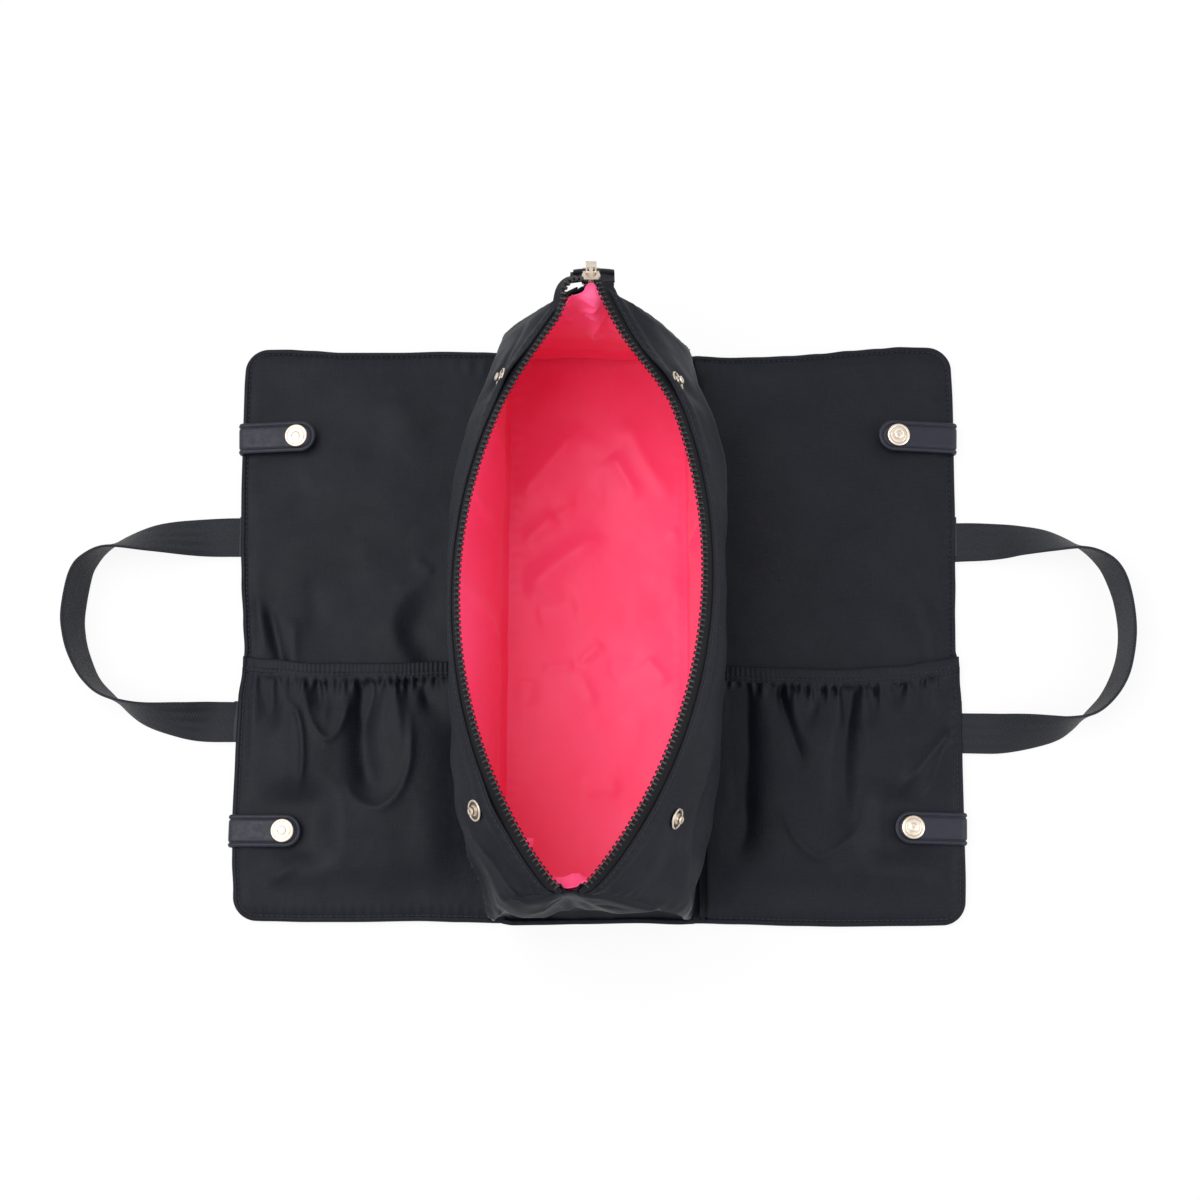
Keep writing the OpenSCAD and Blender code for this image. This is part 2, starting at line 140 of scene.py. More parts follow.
def stroke(x, y, path, width, height, fade=(0.2, 0.3)):
    """Height of a fold that runs along a path of points, fading at its two ends."""
    p = np.asarray(path, float)
    if len(p) > 2:
        p = along(p, np.linspace(0, 1, 2 * len(p) + 1))
    starts = run_of(p)
    spans = np.linalg.norm(np.diff(p, axis=0), axis=1)
    best = np.full(np.shape(x), 1e9)
    place = np.zeros(np.shape(x))
    for k, length in enumerate(spans):
        d = (p[k + 1] - p[k]) / length
        s = np.clip((x - p[k, 0]) * d[0] + (y - p[k, 1]) * d[1], 0, length)
        away = np.hypot(x - p[k, 0] - s * d[0], y - p[k, 1] - s * d[1])
        nearer = away < best
        best = np.where(nearer, away, best)
        place = np.where(nearer, (starts[k] + s) / starts[-1], place)
    ends = np.ones(np.shape(x))
    if fade[0] > 0:
        ends = ends * smooth(place / fade[0])
    if fade[1] > 0:
        ends = ends * smooth((1 - place) / fade[1])
    if isinstance(width, tuple):
        width = np.interp(place, [0, 1], width)
    crest, fall = (0.45 * width, 0.62 * width) if height > 0 else (1.0 * width, 0.48 * width)
    return height * np.exp((crest - np.hypot(best, crest)) / fall) * ends


def strokes(x, y, folds):
    return sum(stroke(x, y, *f) for f in folds)


def rolled(d, r):
    """Height, from 0 to 1, of a rounded edge of radius r at distance d from it."""
    return np.sqrt(np.clip(1 - (1 - np.clip(d / r, 0, 1)) ** 2, 0, 1))


def run_of(p):
    """How far along a line of points each one is."""
    return np.concatenate([[0], np.cumsum(np.linalg.norm(np.diff(p, axis=0), axis=1))])


def facing(points, z=1.0):
    """A normal straight up, or down, for each point."""
    return np.tile([0, 0, z], (len(points), 1))


def spaced(lo, hi, step, fine_lo=(), fine_hi=None):
    """Places from lo to hi, closer together at the ends by the given distances."""
    a = [lo + d for d in fine_lo]
    b = [hi - d for d in (fine_lo if fine_hi is None else fine_hi)][::-1]
    start = a[-1] if a else lo
    stop = b[0] if b else hi
    n = max(2, int(round((stop - start) / step)))
    return np.array([*a[:-1], *np.linspace(start, stop, n + 1), *b[1:]])


# ---- meshes

def over(u, v):
    """Two numbers at each point of a grid, from their values along its rows and columns."""
    return np.meshgrid(u, v, indexing="ij")


def make_mesh(name, verts, quads, material, uv=None, sharp=45, others=()):
    """A piece from points in millimetres, its faces turned outwards."""
    verts = np.asarray(verts, float) * MM
    quads = np.asarray(quads, int).reshape(-1, 4)
    me = bpy.data.meshes.new(name)
    me.from_pydata(verts, [], quads.tolist() + [np.asarray(f).tolist() for f in others])
    me.validate()
    q = verts[quads]
    volume = np.einsum("ij,ij->", q[:, 0], np.cross(q[:, 1], q[:, 2]))
    volume += np.einsum("ij,ij->", q[:, 0], np.cross(q[:, 2], q[:, 3]))
    for f in others:
        t = verts[np.asarray(f)]
        volume += np.einsum("j,ij->", t[0], np.cross(t[1:-1], t[2:]))
    if volume < 0:
        me.flip_normals()
    if uv is not None:
        layer = me.uv_layers.new(name="Cloth")
        index = np.zeros(len(me.loops), int)
        me.loops.foreach_get("vertex_index", index)
        layer.data.foreach_set("uv", np.asarray(uv, float)[index].ravel())
    me.shade_smooth()
    me.set_sharp_from_angle(angle=math.radians(sharp))
    me.materials.append(material)
    ob = bpy.data.objects.new(name, me)
    bpy.context.scene.collection.objects.link(ob)
    return ob


def grid_quads(rows, cols, round_cols=False):
    i = np.arange(rows - 1)[:, None]
    j = np.arange(cols if round_cols else cols - 1)[None, :]
    j1 = (j + 1) % cols
    a, b = i * cols, (i + 1) * cols
    return np.stack(np.broadcast_arrays(a + j, b + j, b + j1, a + j1), axis=2).reshape(-1, 4)


def slab(name, top, bottom, material, sharp=45):
    """A closed sheet between two grids of points of the same size."""
    rows, cols = top.shape[:2]
    n = rows * cols
    face = grid_quads(rows, cols)
    ring = np.concatenate([np.arange(cols), np.arange(1, rows) * cols + cols - 1,
                           (rows - 1) * cols + np.arange(cols - 2, -1, -1),
                           np.arange(rows - 2, 0, -1) * cols])
    after = np.roll(ring, -1)
    rim_quads = np.stack([ring, after, n + after, n + ring], axis=1)
    faces = np.concatenate([face, n + face[:, ::-1], rim_quads])
    verts = np.concatenate([top.reshape(-1, 3), bottom.reshape(-1, 3)])
    uv = np.concatenate([lengths_uv(top)] * 2)
    return make_mesh(name, verts, faces, material, uv, sharp)


def grid_uv(u, v):
    """Cloth coordinates in metres of a grid, from the places of its rows and columns in millimetres."""
    return np.stack(over(u * MM, v * MM), axis=2).reshape(-1, 2)


def lengths_uv(p):
    """Cloth coordinates in metres from the distances across a grid of points."""
    du = np.linalg.norm(np.diff(p, axis=0), axis=2).mean(axis=1)
    dv = np.linalg.norm(np.diff(p, axis=1), axis=2).mean(axis=0)
    return grid_uv(np.append(0, np.cumsum(du)), np.append(0, np.cumsum(dv)))


def tube(name, rings, material, uv=None, sharp=45):
    """A closed skin over a row of rings of points."""
    return join(name, [rings], material, sharp, uv)


def groove_shade_uv(profile, turns=56):
    """Cloth coordinates of a turned shape: far up v where painted shade darkens its metal, in the grooves."""
    return np.array([(k / turns * 0.02, q[2] if len(q) > 2 else 0.0) for q in profile for k in range(turns)])


def lathe(profile, turns=56):
    """Rings of points of a turned shape about z, from [(radius, height), ...]."""
    a = np.linspace(0, 2 * math.pi, turns, endpoint=False)
    r = np.array([[max(q[0], 0.02)] for q in profile])
    z = np.array([[q[1]] for q in profile])
    return np.stack([r * np.cos(a), r * np.sin(a), z + 0 * a], axis=2)


def placed(points, at, normal, x_hint=(0, 1, 0)):
    """Points drawn about the origin, moved to a place with z along a normal."""
    z = unit(np.asarray(normal, float))
    x = unit(np.cross(np.asarray(x_hint, float), z))
    y = np.cross(z, x)
    p = np.asarray(points, float)
    return np.asarray(at) + p[..., :1] * x + p[..., 1:2] * y + p[..., 2:3] * z


def join(name, parts, material, sharp=45, uv=None):
    """One piece from several rows of rings of points, each a closed skin with two end caps."""
    verts, quads, ends, n = [], [], [], 0
    for rings in parts:
        rows, cols = rings.shape[:2]
        verts.append(rings.reshape(-1, 3))
        quads.append(n + grid_quads(rows, cols, True))
        ends += [n + np.arange(cols), n + (rows - 1) * cols + np.arange(cols - 1, -1, -1)]
        n += rows * cols
    return make_mesh(name, np.concatenate(verts), np.concatenate(quads), material, uv, sharp, ends)


def finish_piece(ob, body, replaced=()):
    if body:
        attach(ob, body)
    if replaced:
        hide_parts(*replaced)
    return ob


# ---- stitches

STITCH_PITCH = 3.3
STITCH_LENGTH = 2.5
STITCH_R = 0.3
# Places along a stitch: share of its length, thickness and lift out of the fabric
STITCH_SHAPE = [(0, 0.45, -0.35), (0.18, 1, 0.12), (0.5, 1.08, 0.2), (0.82, 1, 0.12), (1, 0.45, -0.35)]


def stitch_parts(path, normals, length=STITCH_LENGTH, pitch=STITCH_PITCH, r=STITCH_R):
    """Threads that lie along a path on a surface and dip into it at both ends."""
    s = run_of(path)
    a = np.linspace(0, 2 * math.pi, 6, endpoint=False)[:, None]

    def at(place, values):
        place = np.clip(place, 0, s[-1])
        return np.array([np.interp(place, s, values[:, c]) for c in range(3)])

    def ring(place, size, lift):
        m = unit(at(place, normals))
        b = unit(np.cross(m, unit(at(place + 0.5, path) - at(place - 0.5, path))))
        return at(place, path) + m * lift * r * 2 + r * size * (np.cos(a) * b + np.sin(a) * m * 0.8)

    return [np.array([ring(min(k * pitch + f * length, s[-1]), size, lift) for f, size, lift in STITCH_SHAPE])
            for k in range(max(1, int((s[-1] - length) / pitch)) + 1)]


def sew(name, parts, body):
    """A piece made of stitches only."""
    return finish_piece(join(name, parts, THREAD), body)


# ---- materials

SOCKETS = dict(color="Base Color", rough="Roughness", metal="Metallic", spec="Specular IOR Level",
               sheen="Sheen Weight", sheen_rough="Sheen Roughness", sheen_tint="Sheen Tint", normal="Normal")


class Nodes:
    """Short calls for building the nodes of one material or of the world."""

    def __init__(self, owner):
        owner.use_nodes = True
        self.owner, self.tree = owner, owner.node_tree
        self.shader = self.tree.nodes.get("Principled BSDF")

    def put(self, socket, value):
        if isinstance(value, bpy.types.NodeSocket):
            self.tree.links.new(value, socket)
        else:
            socket.default_value = value

    def node(self, kind, inputs, **values):
        """A new node with its properties set, then its inputs, by name or number."""
        n = self.tree.nodes.new("ShaderNode" + kind)
        for k, v in values.items():
            setattr(n, k, v)
        for k, v in inputs.items():
            self.put(n.inputs[k], v)
        return n

    def math(self, what, a, b=0.0):
        return self.node("Math", {0: a, 1: b}, operation=what).outputs[0]

    def weighted(self, *pairs):
        """The sum of [(value, weight), ...]."""
        total = None
        for value, weight in pairs:
            part = self.math("MULTIPLY", value, weight)
            total = part if total is None else self.math("ADD", total, part)
        return total

    def blend(self, share, a, b):
        """A colour between two, given as (red, green, blue)."""
        a, b = (x if isinstance(x, bpy.types.NodeSocket) else (*x, 1.0) for x in (a, b))
        return self.node("Mix", {0: share, 6: a, 7: b}, data_type="RGBA").outputs[2]

    def ramp(self, value, lo, hi, a=0.0, b=1.0):
        inputs = {"Value": value, "From Min": lo, "From Max": hi, "To Min": a, "To Max": b}
        return self.node("MapRange", inputs, interpolation_type="SMOOTHSTEP").outputs[0]

    def place(self):
        return self.node("TexCoord", {}).outputs["Object"]

    def cloth(self):
        """The cloth coordinates as two numbers, in metres."""
        return self.node("SeparateXYZ", {0: self.node("UVMap", {}, uv_map="Cloth").outputs[0]}).outputs[:2]

    def stretched(self, u, v, along_u, along_v):
        scaled = {0: self.math("MULTIPLY", u, along_u), 1: self.math("MULTIPLY", v, along_v)}
        return self.node("CombineXYZ", scaled).outputs[0]

    def speckle(self, scale, detail=3.0, where=None):
        inputs = {"Scale": scale, "Detail": detail, "Vector": where or self.place()}
        return self.node("TexNoise", inputs).outputs["Fac"]

    def wave(self, place, length):
        return self.math("SINE", self.math("MULTIPLY", place, 2 * math.pi / length))

    def bump(self, height, depth, strength=1.0, under=None):
        inputs = {"Strength": strength, "Distance": depth, "Height": height}
        if under is not None:
            inputs["Normal"] = under
        return self.node("Bump", inputs).outputs[0]

    def direct(self):
        """1 where the camera sees a thing, straight or in a gloss or through a window."""
        ray = self.node("LightPath", {}).outputs
        most = self.math("MAXIMUM", ray["Is Glossy Ray"], ray["Is Transmission Ray"])
        return self.math("MAXIMUM", ray["Is Camera Ray"], most)

    def set(self, **values):
        for k, v in values.items():
            self.put(self.shader.inputs[SOCKETS[k]], v)
        return self.owner


def material(name):
    return Nodes(bpy.data.materials.new(name))


def weave_bump(n, pitch, depth, strength):
    """A plain weave with threads the given distance apart, in millimetres."""
    u, v = n.cloth()
    return n.bump(n.math("MULTIPLY", n.wave(u, pitch * MM), n.wave(v, pitch * MM)), depth, strength)


def satin_material():
    """Closely woven black nylon with a soft lustre and a faint slub both ways."""
    n = material("black satin nylon")
    u, v = n.cloth()
    patches = n.ramp(n.speckle(16.0, 4.0), 0.3, 0.7)
    fine = n.ramp(n.speckle(1400.0, 2.0), 0.36, 0.64)
    slub = n.weighted((n.speckle(1.0, 2.0, n.stretched(u, v, 90.0, 1600.0)), 0.55),
                      (n.speckle(1.0, 2.0, n.stretched(u, v, 1600.0, 90.0)), 0.45))
    share = n.weighted((patches, 0.25), (n.ramp(slub, 0.35, 0.65), 0.35), (fine, 0.4))
    threads = n.bump(slub, 0.00035, 0.5, weave_bump(n, 0.7, 0.00005, 0.45))
    return n.set(color=n.blend(share, (0.0004, 0.0008, 0.0034), (0.0082, 0.0090, 0.0164)),
                 rough=n.ramp(n.speckle(40.0, 2.0), 0.2, 0.8, 0.53 - 0.05, 0.53 + 0.05), spec=0.185,
                 sheen=0.02, sheen_rough=0.45, sheen_tint=(0.8, 0.85, 1.0, 1.0),
                 normal=n.bump(n.speckle(150.0), 0.0006, 0.16, threads))


def lining_material():
    n = material("pink satin lining")
    tone = n.blend(n.ramp(n.speckle(14.0), 0.3, 0.7), (1.0, 0.082, 0.225), (1.0, 0.11, 0.27))
    slub = n.bump(n.speckle(220.0), 0.0002, 0.15, weave_bump(n, 0.5, 0.00004, 0.2))
    return n.set(color=tone, rough=0.42, spec=0.30, sheen=0.28, sheen_rough=0.35,
                 sheen_tint=(1.0, 0.72, 0.84, 1.0), normal=slub)


def webbing_material():
    """Herringbone webbing: ribs slant one way and then the other across its width."""
    n = material("black herringbone webbing")
    u, v = n.cloth()
    zigzag = n.math("PINGPONG", n.math("ADD", v, 0.05), 0.0031)
    lift = n.ramp(n.wave(n.math("ADD", u, zigzag), 0.0016), -0.9, 0.9)
    share = n.weighted((lift, 0.8), (n.speckle(700.0, 2.0), 0.2))
    return n.set(color=n.blend(share, (0.0030, 0.0032, 0.006), (0.021, 0.023, 0.032)), rough=0.55, spec=0.26,
                 sheen=0.04, sheen_rough=0.4, normal=n.bump(lift, 0.0004, 0.7))


def leather_material():
    n = material("black smooth leather")
    cells = n.node("TexVoronoi", {"Scale": 1100.0, "Vector": n.place()}, feature="DISTANCE_TO_EDGE")
    grain = n.ramp(cells.outputs["Distance"], 0.0, 0.25)
    return n.set(color=n.blend(n.speckle(60.0), (0.006, 0.007, 0.016), (0.014, 0.015, 0.028)),
                 rough=n.ramp(n.speckle(300.0, 2.0), 0.3, 0.7, 0.36, 0.52), spec=0.34,
                 normal=n.bump(grain, 0.00010, 0.45, n.bump(n.speckle(260.0), 0.0004, 0.3)))


def tape_material():
    n = material("black zip tape")
    u, v = n.cloth()
    ribs = n.math("ADD", n.wave(u, 0.0009), n.math("MULTIPLY", n.wave(v, 0.0018), 0.6))
    lift = n.ramp(ribs, -1.4, 1.4)
    return n.set(color=n.blend(lift, (0.003, 0.003, 0.0045), (0.011, 0.011, 0.014)), rough=0.7, spec=0.16,
                 sheen=0.02, normal=n.bump(lift, 0.0002, 0.5))


def gold_material():
    """Champagne metal, with painted shade where the cloth coordinates say that a groove is."""
    n = material("champagne gold")
    fine = n.speckle(900.0)
    tone = n.blend(n.ramp(n.speckle(180.0, 4.0), 0.45, 0.75), (0.70, 0.61, 0.52), (0.55, 0.45, 0.35))
    # Painted shade in the grooves: the colour darkens towards dark brown as the cloth v rises.
    tone = n.blend(n.ramp(n.cloth()[1], 0.3, 0.9), tone, (0.10, 0.082, 0.07))
    return n.set(color=tone, metal=1.0, rough=n.ramp(fine, 0.3, 0.7, 0.30, 0.46),
                 normal=n.bump(fine, 0.00003, 0.2))


def speckled_material(name, size, dark, light, rough, spec, bump):
    """A plain finish with a fine speckle: size is its scale and detail, bump its depth and strength."""
    n = material(name)
    fine = n.speckle(*size)
    if isinstance(rough, tuple):
        rough = n.ramp(fine, 0.3, 0.7, *rough)
    relief = fine if len(bump) == 2 else n.speckle(*bump[2:])
    return n.set(color=n.blend(fine, dark, light), rough=rough, spec=spec, normal=n.bump(relief, *bump[:2]))


SATIN = satin_material()
LINING = lining_material()
WEBBING = webbing_material()
LEATHER = leather_material()
TAPE = tape_material()
TEETH = speckled_material("black moulded plastic", (500.0, 2.0), (0.004, 0.004, 0.006), (0.011, 0.011, 0.013),
                          (0.26, 0.4), 0.42, (0.00005, 0.2, 1500.0, 2.0))
THREAD = speckled_material("black thread", (1800.0, 2.0), (0.008, 0.008, 0.01), (0.03, 0.031, 0.036),
                           0.6, 0.3, (0.0001, 0.3))
GOLD = gold_material()
BOARD = speckled_material("black fibre board", (600.0, 4.0), (0.018, 0.018, 0.020), (0.035, 0.035, 0.038),
                          0.85, 0.2, (0.0002, 0.4))


# ---- pouch surfaces

HALF_L = 182.5
HALF_B = 57.0
RIM_H = 146.0
MOUTH_HALF = 69.5
BULGE = {LEFT: 11.0, RIGHT: 13.0}
WALL_Z = 1.3
WALL_HALF_L = 179.5
WALL_L = 2 * WALL_HALF_L
# The scales by which creases are placed: height up a wall or an end, width across an end
WALL_H = 150.0
END_W = 114.0
SHELL_T = 1.2
NEAR_APEX = np.array([-15.0, -171.5, RIM_H])
FAR_APEX = np.array([-4.0, 176.5, RIM_H])
APEX_HALF = 4.5
FACING_V = 0.955
TAPE_T = 0.8

SEAM = {
    (LEFT, FAR): [(-57, 179.5, 1.3), (-58.5, 173.5, 55.5), (-51, 167.5, 97.8),
                  (-28, 170.5, 128.5), (-8.5, 176.5, 146)],
    (RIGHT, FAR): [(57, 179.5, 1.3), (55.0, 167.5, 55.5), (49.5, 157.5, 97.8),
                   (24, 167.5, 128.5), (0.5, 176.5, 146)],
    (LEFT, NEAR): [(-58, -179.5, 1.3), (-62, -183.2, 55.5), (-56.5, -182.5, 97.8),
                   (-45, -175.5, 128.5), (-19.5, -171.5, 146)],
    (RIGHT, NEAR): [(57, -179.5, 1.3), (51.5, -182.5, 55.5), (45, -181.5, 97.8),
                    (13, -175.5, 128.5), (-10.5, -171.5, 146)],
}
# How much further out than an even curve each wall stands half way up: [(along the bag, mm), ...]
SWELL = {
    LEFT: [(0, 0), (0.04, 0.8), (0.09, 4.6), (0.15, 7.4), (0.21, 4.6), (0.30, -0.2), (0.40, -3.6),
           (0.49, -3.2), (0.58, 1.6), (0.65, 4.8), (0.74, 6.6), (0.82, 5.2), (0.90, 4.6), (0.96, 2.8),
           (1, 0)],
    RIGHT: [(0, 0), (0.03, 1.0), (0.09, 4.2), (0.20, 6.0), (0.34, 2.6), (0.50, -0.8), (0.57, -0.8),
            (0.65, 2.8), (0.72, 5.6), (0.85, 5.4), (0.92, 4.6), (0.97, 3.4), (1, 0)],
}


def grid(u, v):
    """Two numbers or arrays, made the same shape."""
    return np.broadcast_arrays(np.asarray(u, float), np.asarray(v, float))


def normal(surface, u, v):
    """The unit normal of a surface given by u and v from 0 to 1."""
    e = 0.01
    u, v = grid(u, v)
    du = surface(np.minimum(1, u + e), v) - surface(np.maximum(0, u - e), v)
    dv = surface(u, np.minimum(1, v + e)) - surface(u, np.maximum(0, v - e))
    return unit(np.cross(du, dv))


def beside(share, wide, inset, reach):
    """1 along two lines the given distance inside a sheet's two edges, falling to 0 around them."""
    return bell(share * wide - inset, reach) + bell((1 - share) * wide - inset, reach)


def seam(sd, en, v):
    """The line where a side wall meets an end, from the base up to the zip."""
    return along(SEAM[(sd, en)], v)


def rim(sd, u):
    """The upper edge of a side wall, along the zip."""
    u = np.asarray(u, float)
    power = 0.88 + (0.4 if sd == RIGHT else 0.1) * smooth((u - 0.78) / 0.15)
    lens = np.clip(4 * u * (1 - u), 0, 1) ** power
    p = mix(NEAR_APEX, FAR_APEX, u[..., None])
    p[..., 0] += sd * (APEX_HALF + (MOUTH_HALF - APEX_HALF) * lens)
    return p


def wall(sd, u, v):
    """A side wall's outer surface: u runs along the bag, v from the base to the zip."""
    u, v = grid(u, v)
    foot = np.stack([0 * u + sd * HALF_B, mix(-WALL_HALF_L, WALL_HALF_L, u), 0 * u + WALL_Z], axis=-1)
    w = v[..., None]
    feet = {en: np.array([sd * HALF_B, en * WALL_HALF_L, WALL_Z]) for en in (NEAR, FAR)}
    near_off, far_off = (seam(sd, en, v) - mix(feet[en], rim(sd, at), w) for en, at in ((NEAR, 0), (FAR, 1)))
    bulge = BULGE[sd] * np.sin(math.pi * v**2.5) * np.sin(math.pi * np.clip(u, 0, 1)) ** 0.4
    bulge = bulge + table(SWELL[sd], u) * smooth((v - 0.1) / 0.5) * smooth((0.985 - v) / 0.22)
    p = mix(foot, rim(sd, u), w) + near_off * (1 - u[..., None]) ** 3 + far_off * u[..., None] ** 3
    p[..., 0] += sd * bulge
    return p


def wall_normal(sd, u, v):
    return sd * normal(lambda u, v: wall(sd, u, v), u, v)


def wall_in(sd, u, v, depth):
    """The surface at the given depth inside a side wall."""
    return wall(sd, u, v) - np.asarray(depth)[..., None] * wall_normal(sd, u, v)


def gusset(en, s, v):
    """An end's outer surface: s runs across from the left seam to the right one, v upwards."""
    s, v = grid(s, v)
    p = mix(seam(LEFT, en, v), seam(RIGHT, en, v), s[..., None])
    p[..., 1] += en * 5.0 * np.sin(math.pi * s) * np.sin(math.pi * v)
    return p


def end_width(en, v):
    """How far apart an end's two seams are."""
    return np.linalg.norm(seam(RIGHT, en, v) - seam(LEFT, en, v), axis=-1)


def gusset_normal(en, s, v):
    return -en * normal(lambda s, v: gusset(en, s, v), s, v)


# ---- pouch walls

# How much steeper than the wall the studs stand, as a slope
STUD_TURN = {NEAR: 0.40, FAR: 0.50}
STUD_PLACE = {(LEFT, FAR): (0.850, 0.894), (RIGHT, FAR): (0.846, 0.894),
              (LEFT, NEAR): (0.136, 0.868), (RIGHT, NEAR): (0.126, 0.82)}

# Creases of the outer walls: [(along the bag, height up the wall), ...], width, height
WALL_FOLDS = {
    LEFT: [
        ([(-179, 117), (-162, 117), (-138, 116)], 1.5, 3.0, (0, 0.35)),
        ([(-178, 110), (-162, 109), (-136, 108)], 4.0, -1.6, (0, 0.35)),
        ([(-178, 62), (-160, 86), (-134, 103)], 1.7, 3.0, (0, 0.35)),
        ([(-178, 80), (-160, 96), (-136, 112)], 4.0, -1.4, (0, 0.35)),
        ([(-179, 132), (-168, 134), (-150, 132)], 1.6, 1.2, (0, 0.4)),
        ([(-172, 30), (-150, 60), (-110, 80)], 7.0, 1.5),
        ([(-60, 100), (0, 106), (70, 98)], 7.0, 1.2),
        ([(90, 118), (130, 108), (168, 80)], 5.0, 1.6),
        ([(120, 126), (150, 120), (172, 104)], 3.5, -1.2),
    ],
    RIGHT: [
        ([(-174, 40), (-168, 80), (-120, 112), (-60, 118)], 6.0, 1.8),
        ([(-178, 100), (-160, 104), (-132, 112)], 5.0, -1.6),
        ([(-150, 30), (-138, 60), (-120, 96)], 6.0, 1.4),
        ([(40, 122), (90, 120), (120, 112), (160, 86)], 4.0, 2.2),
        ([(96, 96), (130, 84), (168, 50)], 6.0, -1.5),
        ([(-40, 84), (20, 92), (60, 84)], 8.0, 1.0),
    ],
}
LOW_BULGE = {LEFT: 2.4, RIGHT: 2.2}
STITCH_V = FACING_V - 0.014


def low_bulge(sd, u, v):
    """How far a wall swells out just above the base."""
    rise = LOW_BULGE[sd] * np.sin(math.pi * np.clip(v / 0.16, 0, 1))
    return rise * smooth(u / 0.05) * smooth((1 - u) / 0.05)


def near_stud(sd, u, v, reach):
    """1 at the middle of a wall's studs, falling to 0 around them."""
    places = [STUD_PLACE[(sd, en)] for en in (NEAR, FAR)]
    return sum(bell(np.hypot((u - a) * WALL_L, (v - b) * WALL_H), reach) for a, b in places)


def wall_relief(sd, u, v):
    """How far the outer fabric stands off its plain surface."""
    y = mix(-WALL_HALF_L, WALL_HALF_L, u)
    h = v * WALL_H
    z = strokes(y, h, WALL_FOLDS[sd])
    z = z + 0.8 * noise(y, h, 42, 3 + sd) + 0.4 * noise(y + 0.4 * h, h, 17, 8 + sd)
    z = z + 0.12 * noise(y, h, 6.5, 13 + sd)
    calm = smooth(v / 0.06) * smooth((FACING_V - v) / 0.06)
    pull = 0
    for en in (NEAR, FAR):
        su, sv = STUD_PLACE[(sd, en)]
        away = np.hypot(y - mix(-WALL_HALF_L, WALL_HALF_L, su), (v - sv) * WALL_H)
        calm = calm * (1 - bell(away, 9))
        pull = pull + STUD_TURN[en] * (v - sv) * WALL_H * bell(away, 11)
    seam_dip = mix(0.6, 1.7, smooth((v - 0.5) / 0.15)) * bell(u * WALL_L, 1.8)
    seam_dip = seam_dip + 1.1 * bell((1 - u) * WALL_L, 1.8)
    pucker = 0.22 * np.sin(h / 1.3 + 2 * noise(h, y, 9, 15)) * beside(u, WALL_L, 4, 3)
    over_tape = 1.35 * smooth((v - 0.885) / 0.03)
    row = -0.3 * bell((v - STITCH_V) * WALL_H, 0.7)
    gather = 0.16 * np.sin(y / 0.95 + noise(y, 0 * y, 12, 16)) * bell((v - STITCH_V) * WALL_H + 3, 3)
    return z * calm + pull + low_bulge(sd, u, v) - seam_dip + pucker * calm + over_tape + row + gather


def outer_wall(sd):
    u = spaced(0, 1, 1 / 250, (0, 0.003, 0.006, 0.01))
    v = spaced(0, FACING_V, 1 / 105, (), (0, 0.002, 0.005, 0.009, 0.013, 0.018, 0.024))
    u, v = over(u, v)
    edge = 0.55 * (rolled((FACING_V - v) * WALL_H, 0.9) - 1)
    n = wall_normal(sd, u, v)
    p = wall(sd, u, v) + n * (wall_relief(sd, u, v) + edge)[..., None]
    inner = p - n * (SHELL_T + edge)[..., None]
    ob = slab(f"pouch_{SIDE_NAME[sd]}_outer_wall", p, inner, SATIN)
    finish_piece(ob, "pouch", [f"pouch_{SIDE_NAME[sd]}_wall"])
    us = np.linspace(0.012, 0.988, 240)
    vs = np.full_like(us, STITCH_V)
    ns = wall_normal(sd, us, vs)
    path = wall(sd, us, vs) + ns * (wall_relief(sd, us, vs) + 0.15)[:, None]
    sew(f"pouch_{SIDE_NAME[sd]}_wall_stitches", stitch_parts(path, ns), "pouch")


# ---- pouch ends

# How far the near end's fold stands out, from its left seam to its right: [(share, mm outwards), ...]
NEAR_FOLD = [(0, 0), (0.12, 2.6), (0.25, 1.3), (0.40, -3.5), (0.48, -6.2), (0.60, -4.6), (0.79, 0),
             (0.94, 0.6), (1, 0)]
NEAR_FOLD_V = 0.62
# How its fabric tucks in below the fold: [(height up the wall, mm outwards), ...]
NEAR_TUCK = [(0, 0), (0.035, -6.0), (0.09, -11.5), (0.25, -15.0), (0.42, -16.0), (0.56, -7.0), (0.62, 0)]
# Creases of the ends: [(across, height up the end), ...], width, height
NEAR_FOLDS = [
    ([(16, 98), (34, 110), (50, 130)], 3.5, 1.0),
    ([(84, 116), (94, 106), (104, 98)], 3.0, -0.9),
    ([(14, 60), (40, 74), (70, 70)], 4.0, 1.6),
    ([(100, 50), (72, 60), (48, 54)], 4.0, -1.4),
]
FAR_FOLDS = [
    ([(20, 30), (44, 62), (56, 100)], 4.0, 1.6),
    ([(96, 26), (74, 60), (60, 96)], 4.0, 1.8),
    ([(12, 84), (30, 92), (50, 110)], 3.5, 1.2),
    ([(104, 80), (86, 92), (66, 112)], 3.5, 1.2),
]


def gusset_relief(en, s, v):
    """How far an end's fabric stands off its plain surface."""
    x, h = s * END_W, v * WALL_H
    if en == NEAR:
        across = np.sin(math.pi * s) ** 0.45
        stand = table(NEAR_FOLD, s)
        lip = stand * smooth((1 - v) / (1 - NEAR_FOLD_V)) * smooth(v / 0.5)
        sag = lip + table(NEAR_TUCK, v) * across * smooth((1.2 - stand / 6) / 1.2)
        folds = strokes(x, h, NEAR_FOLDS) + 0.8 * noise(x, h, 24, 21) + 0.35 * noise(x, h, 11, 23)
        return sag + folds * across
    across = np.sin(math.pi * s) ** 0.8
    crease = -3.0 * bell((s - 0.5) * 60 * (1.15 - v), 5) * smooth((v - 0.3) / 0.2)
    folds = strokes(x, h, FAR_FOLDS) + 1.6 * bell(v - 0.35, 0.16)
    return crease + (folds + 0.9 * noise(x, h, 30, 22) + 0.3 * noise(x, h, 12, 24)) * across


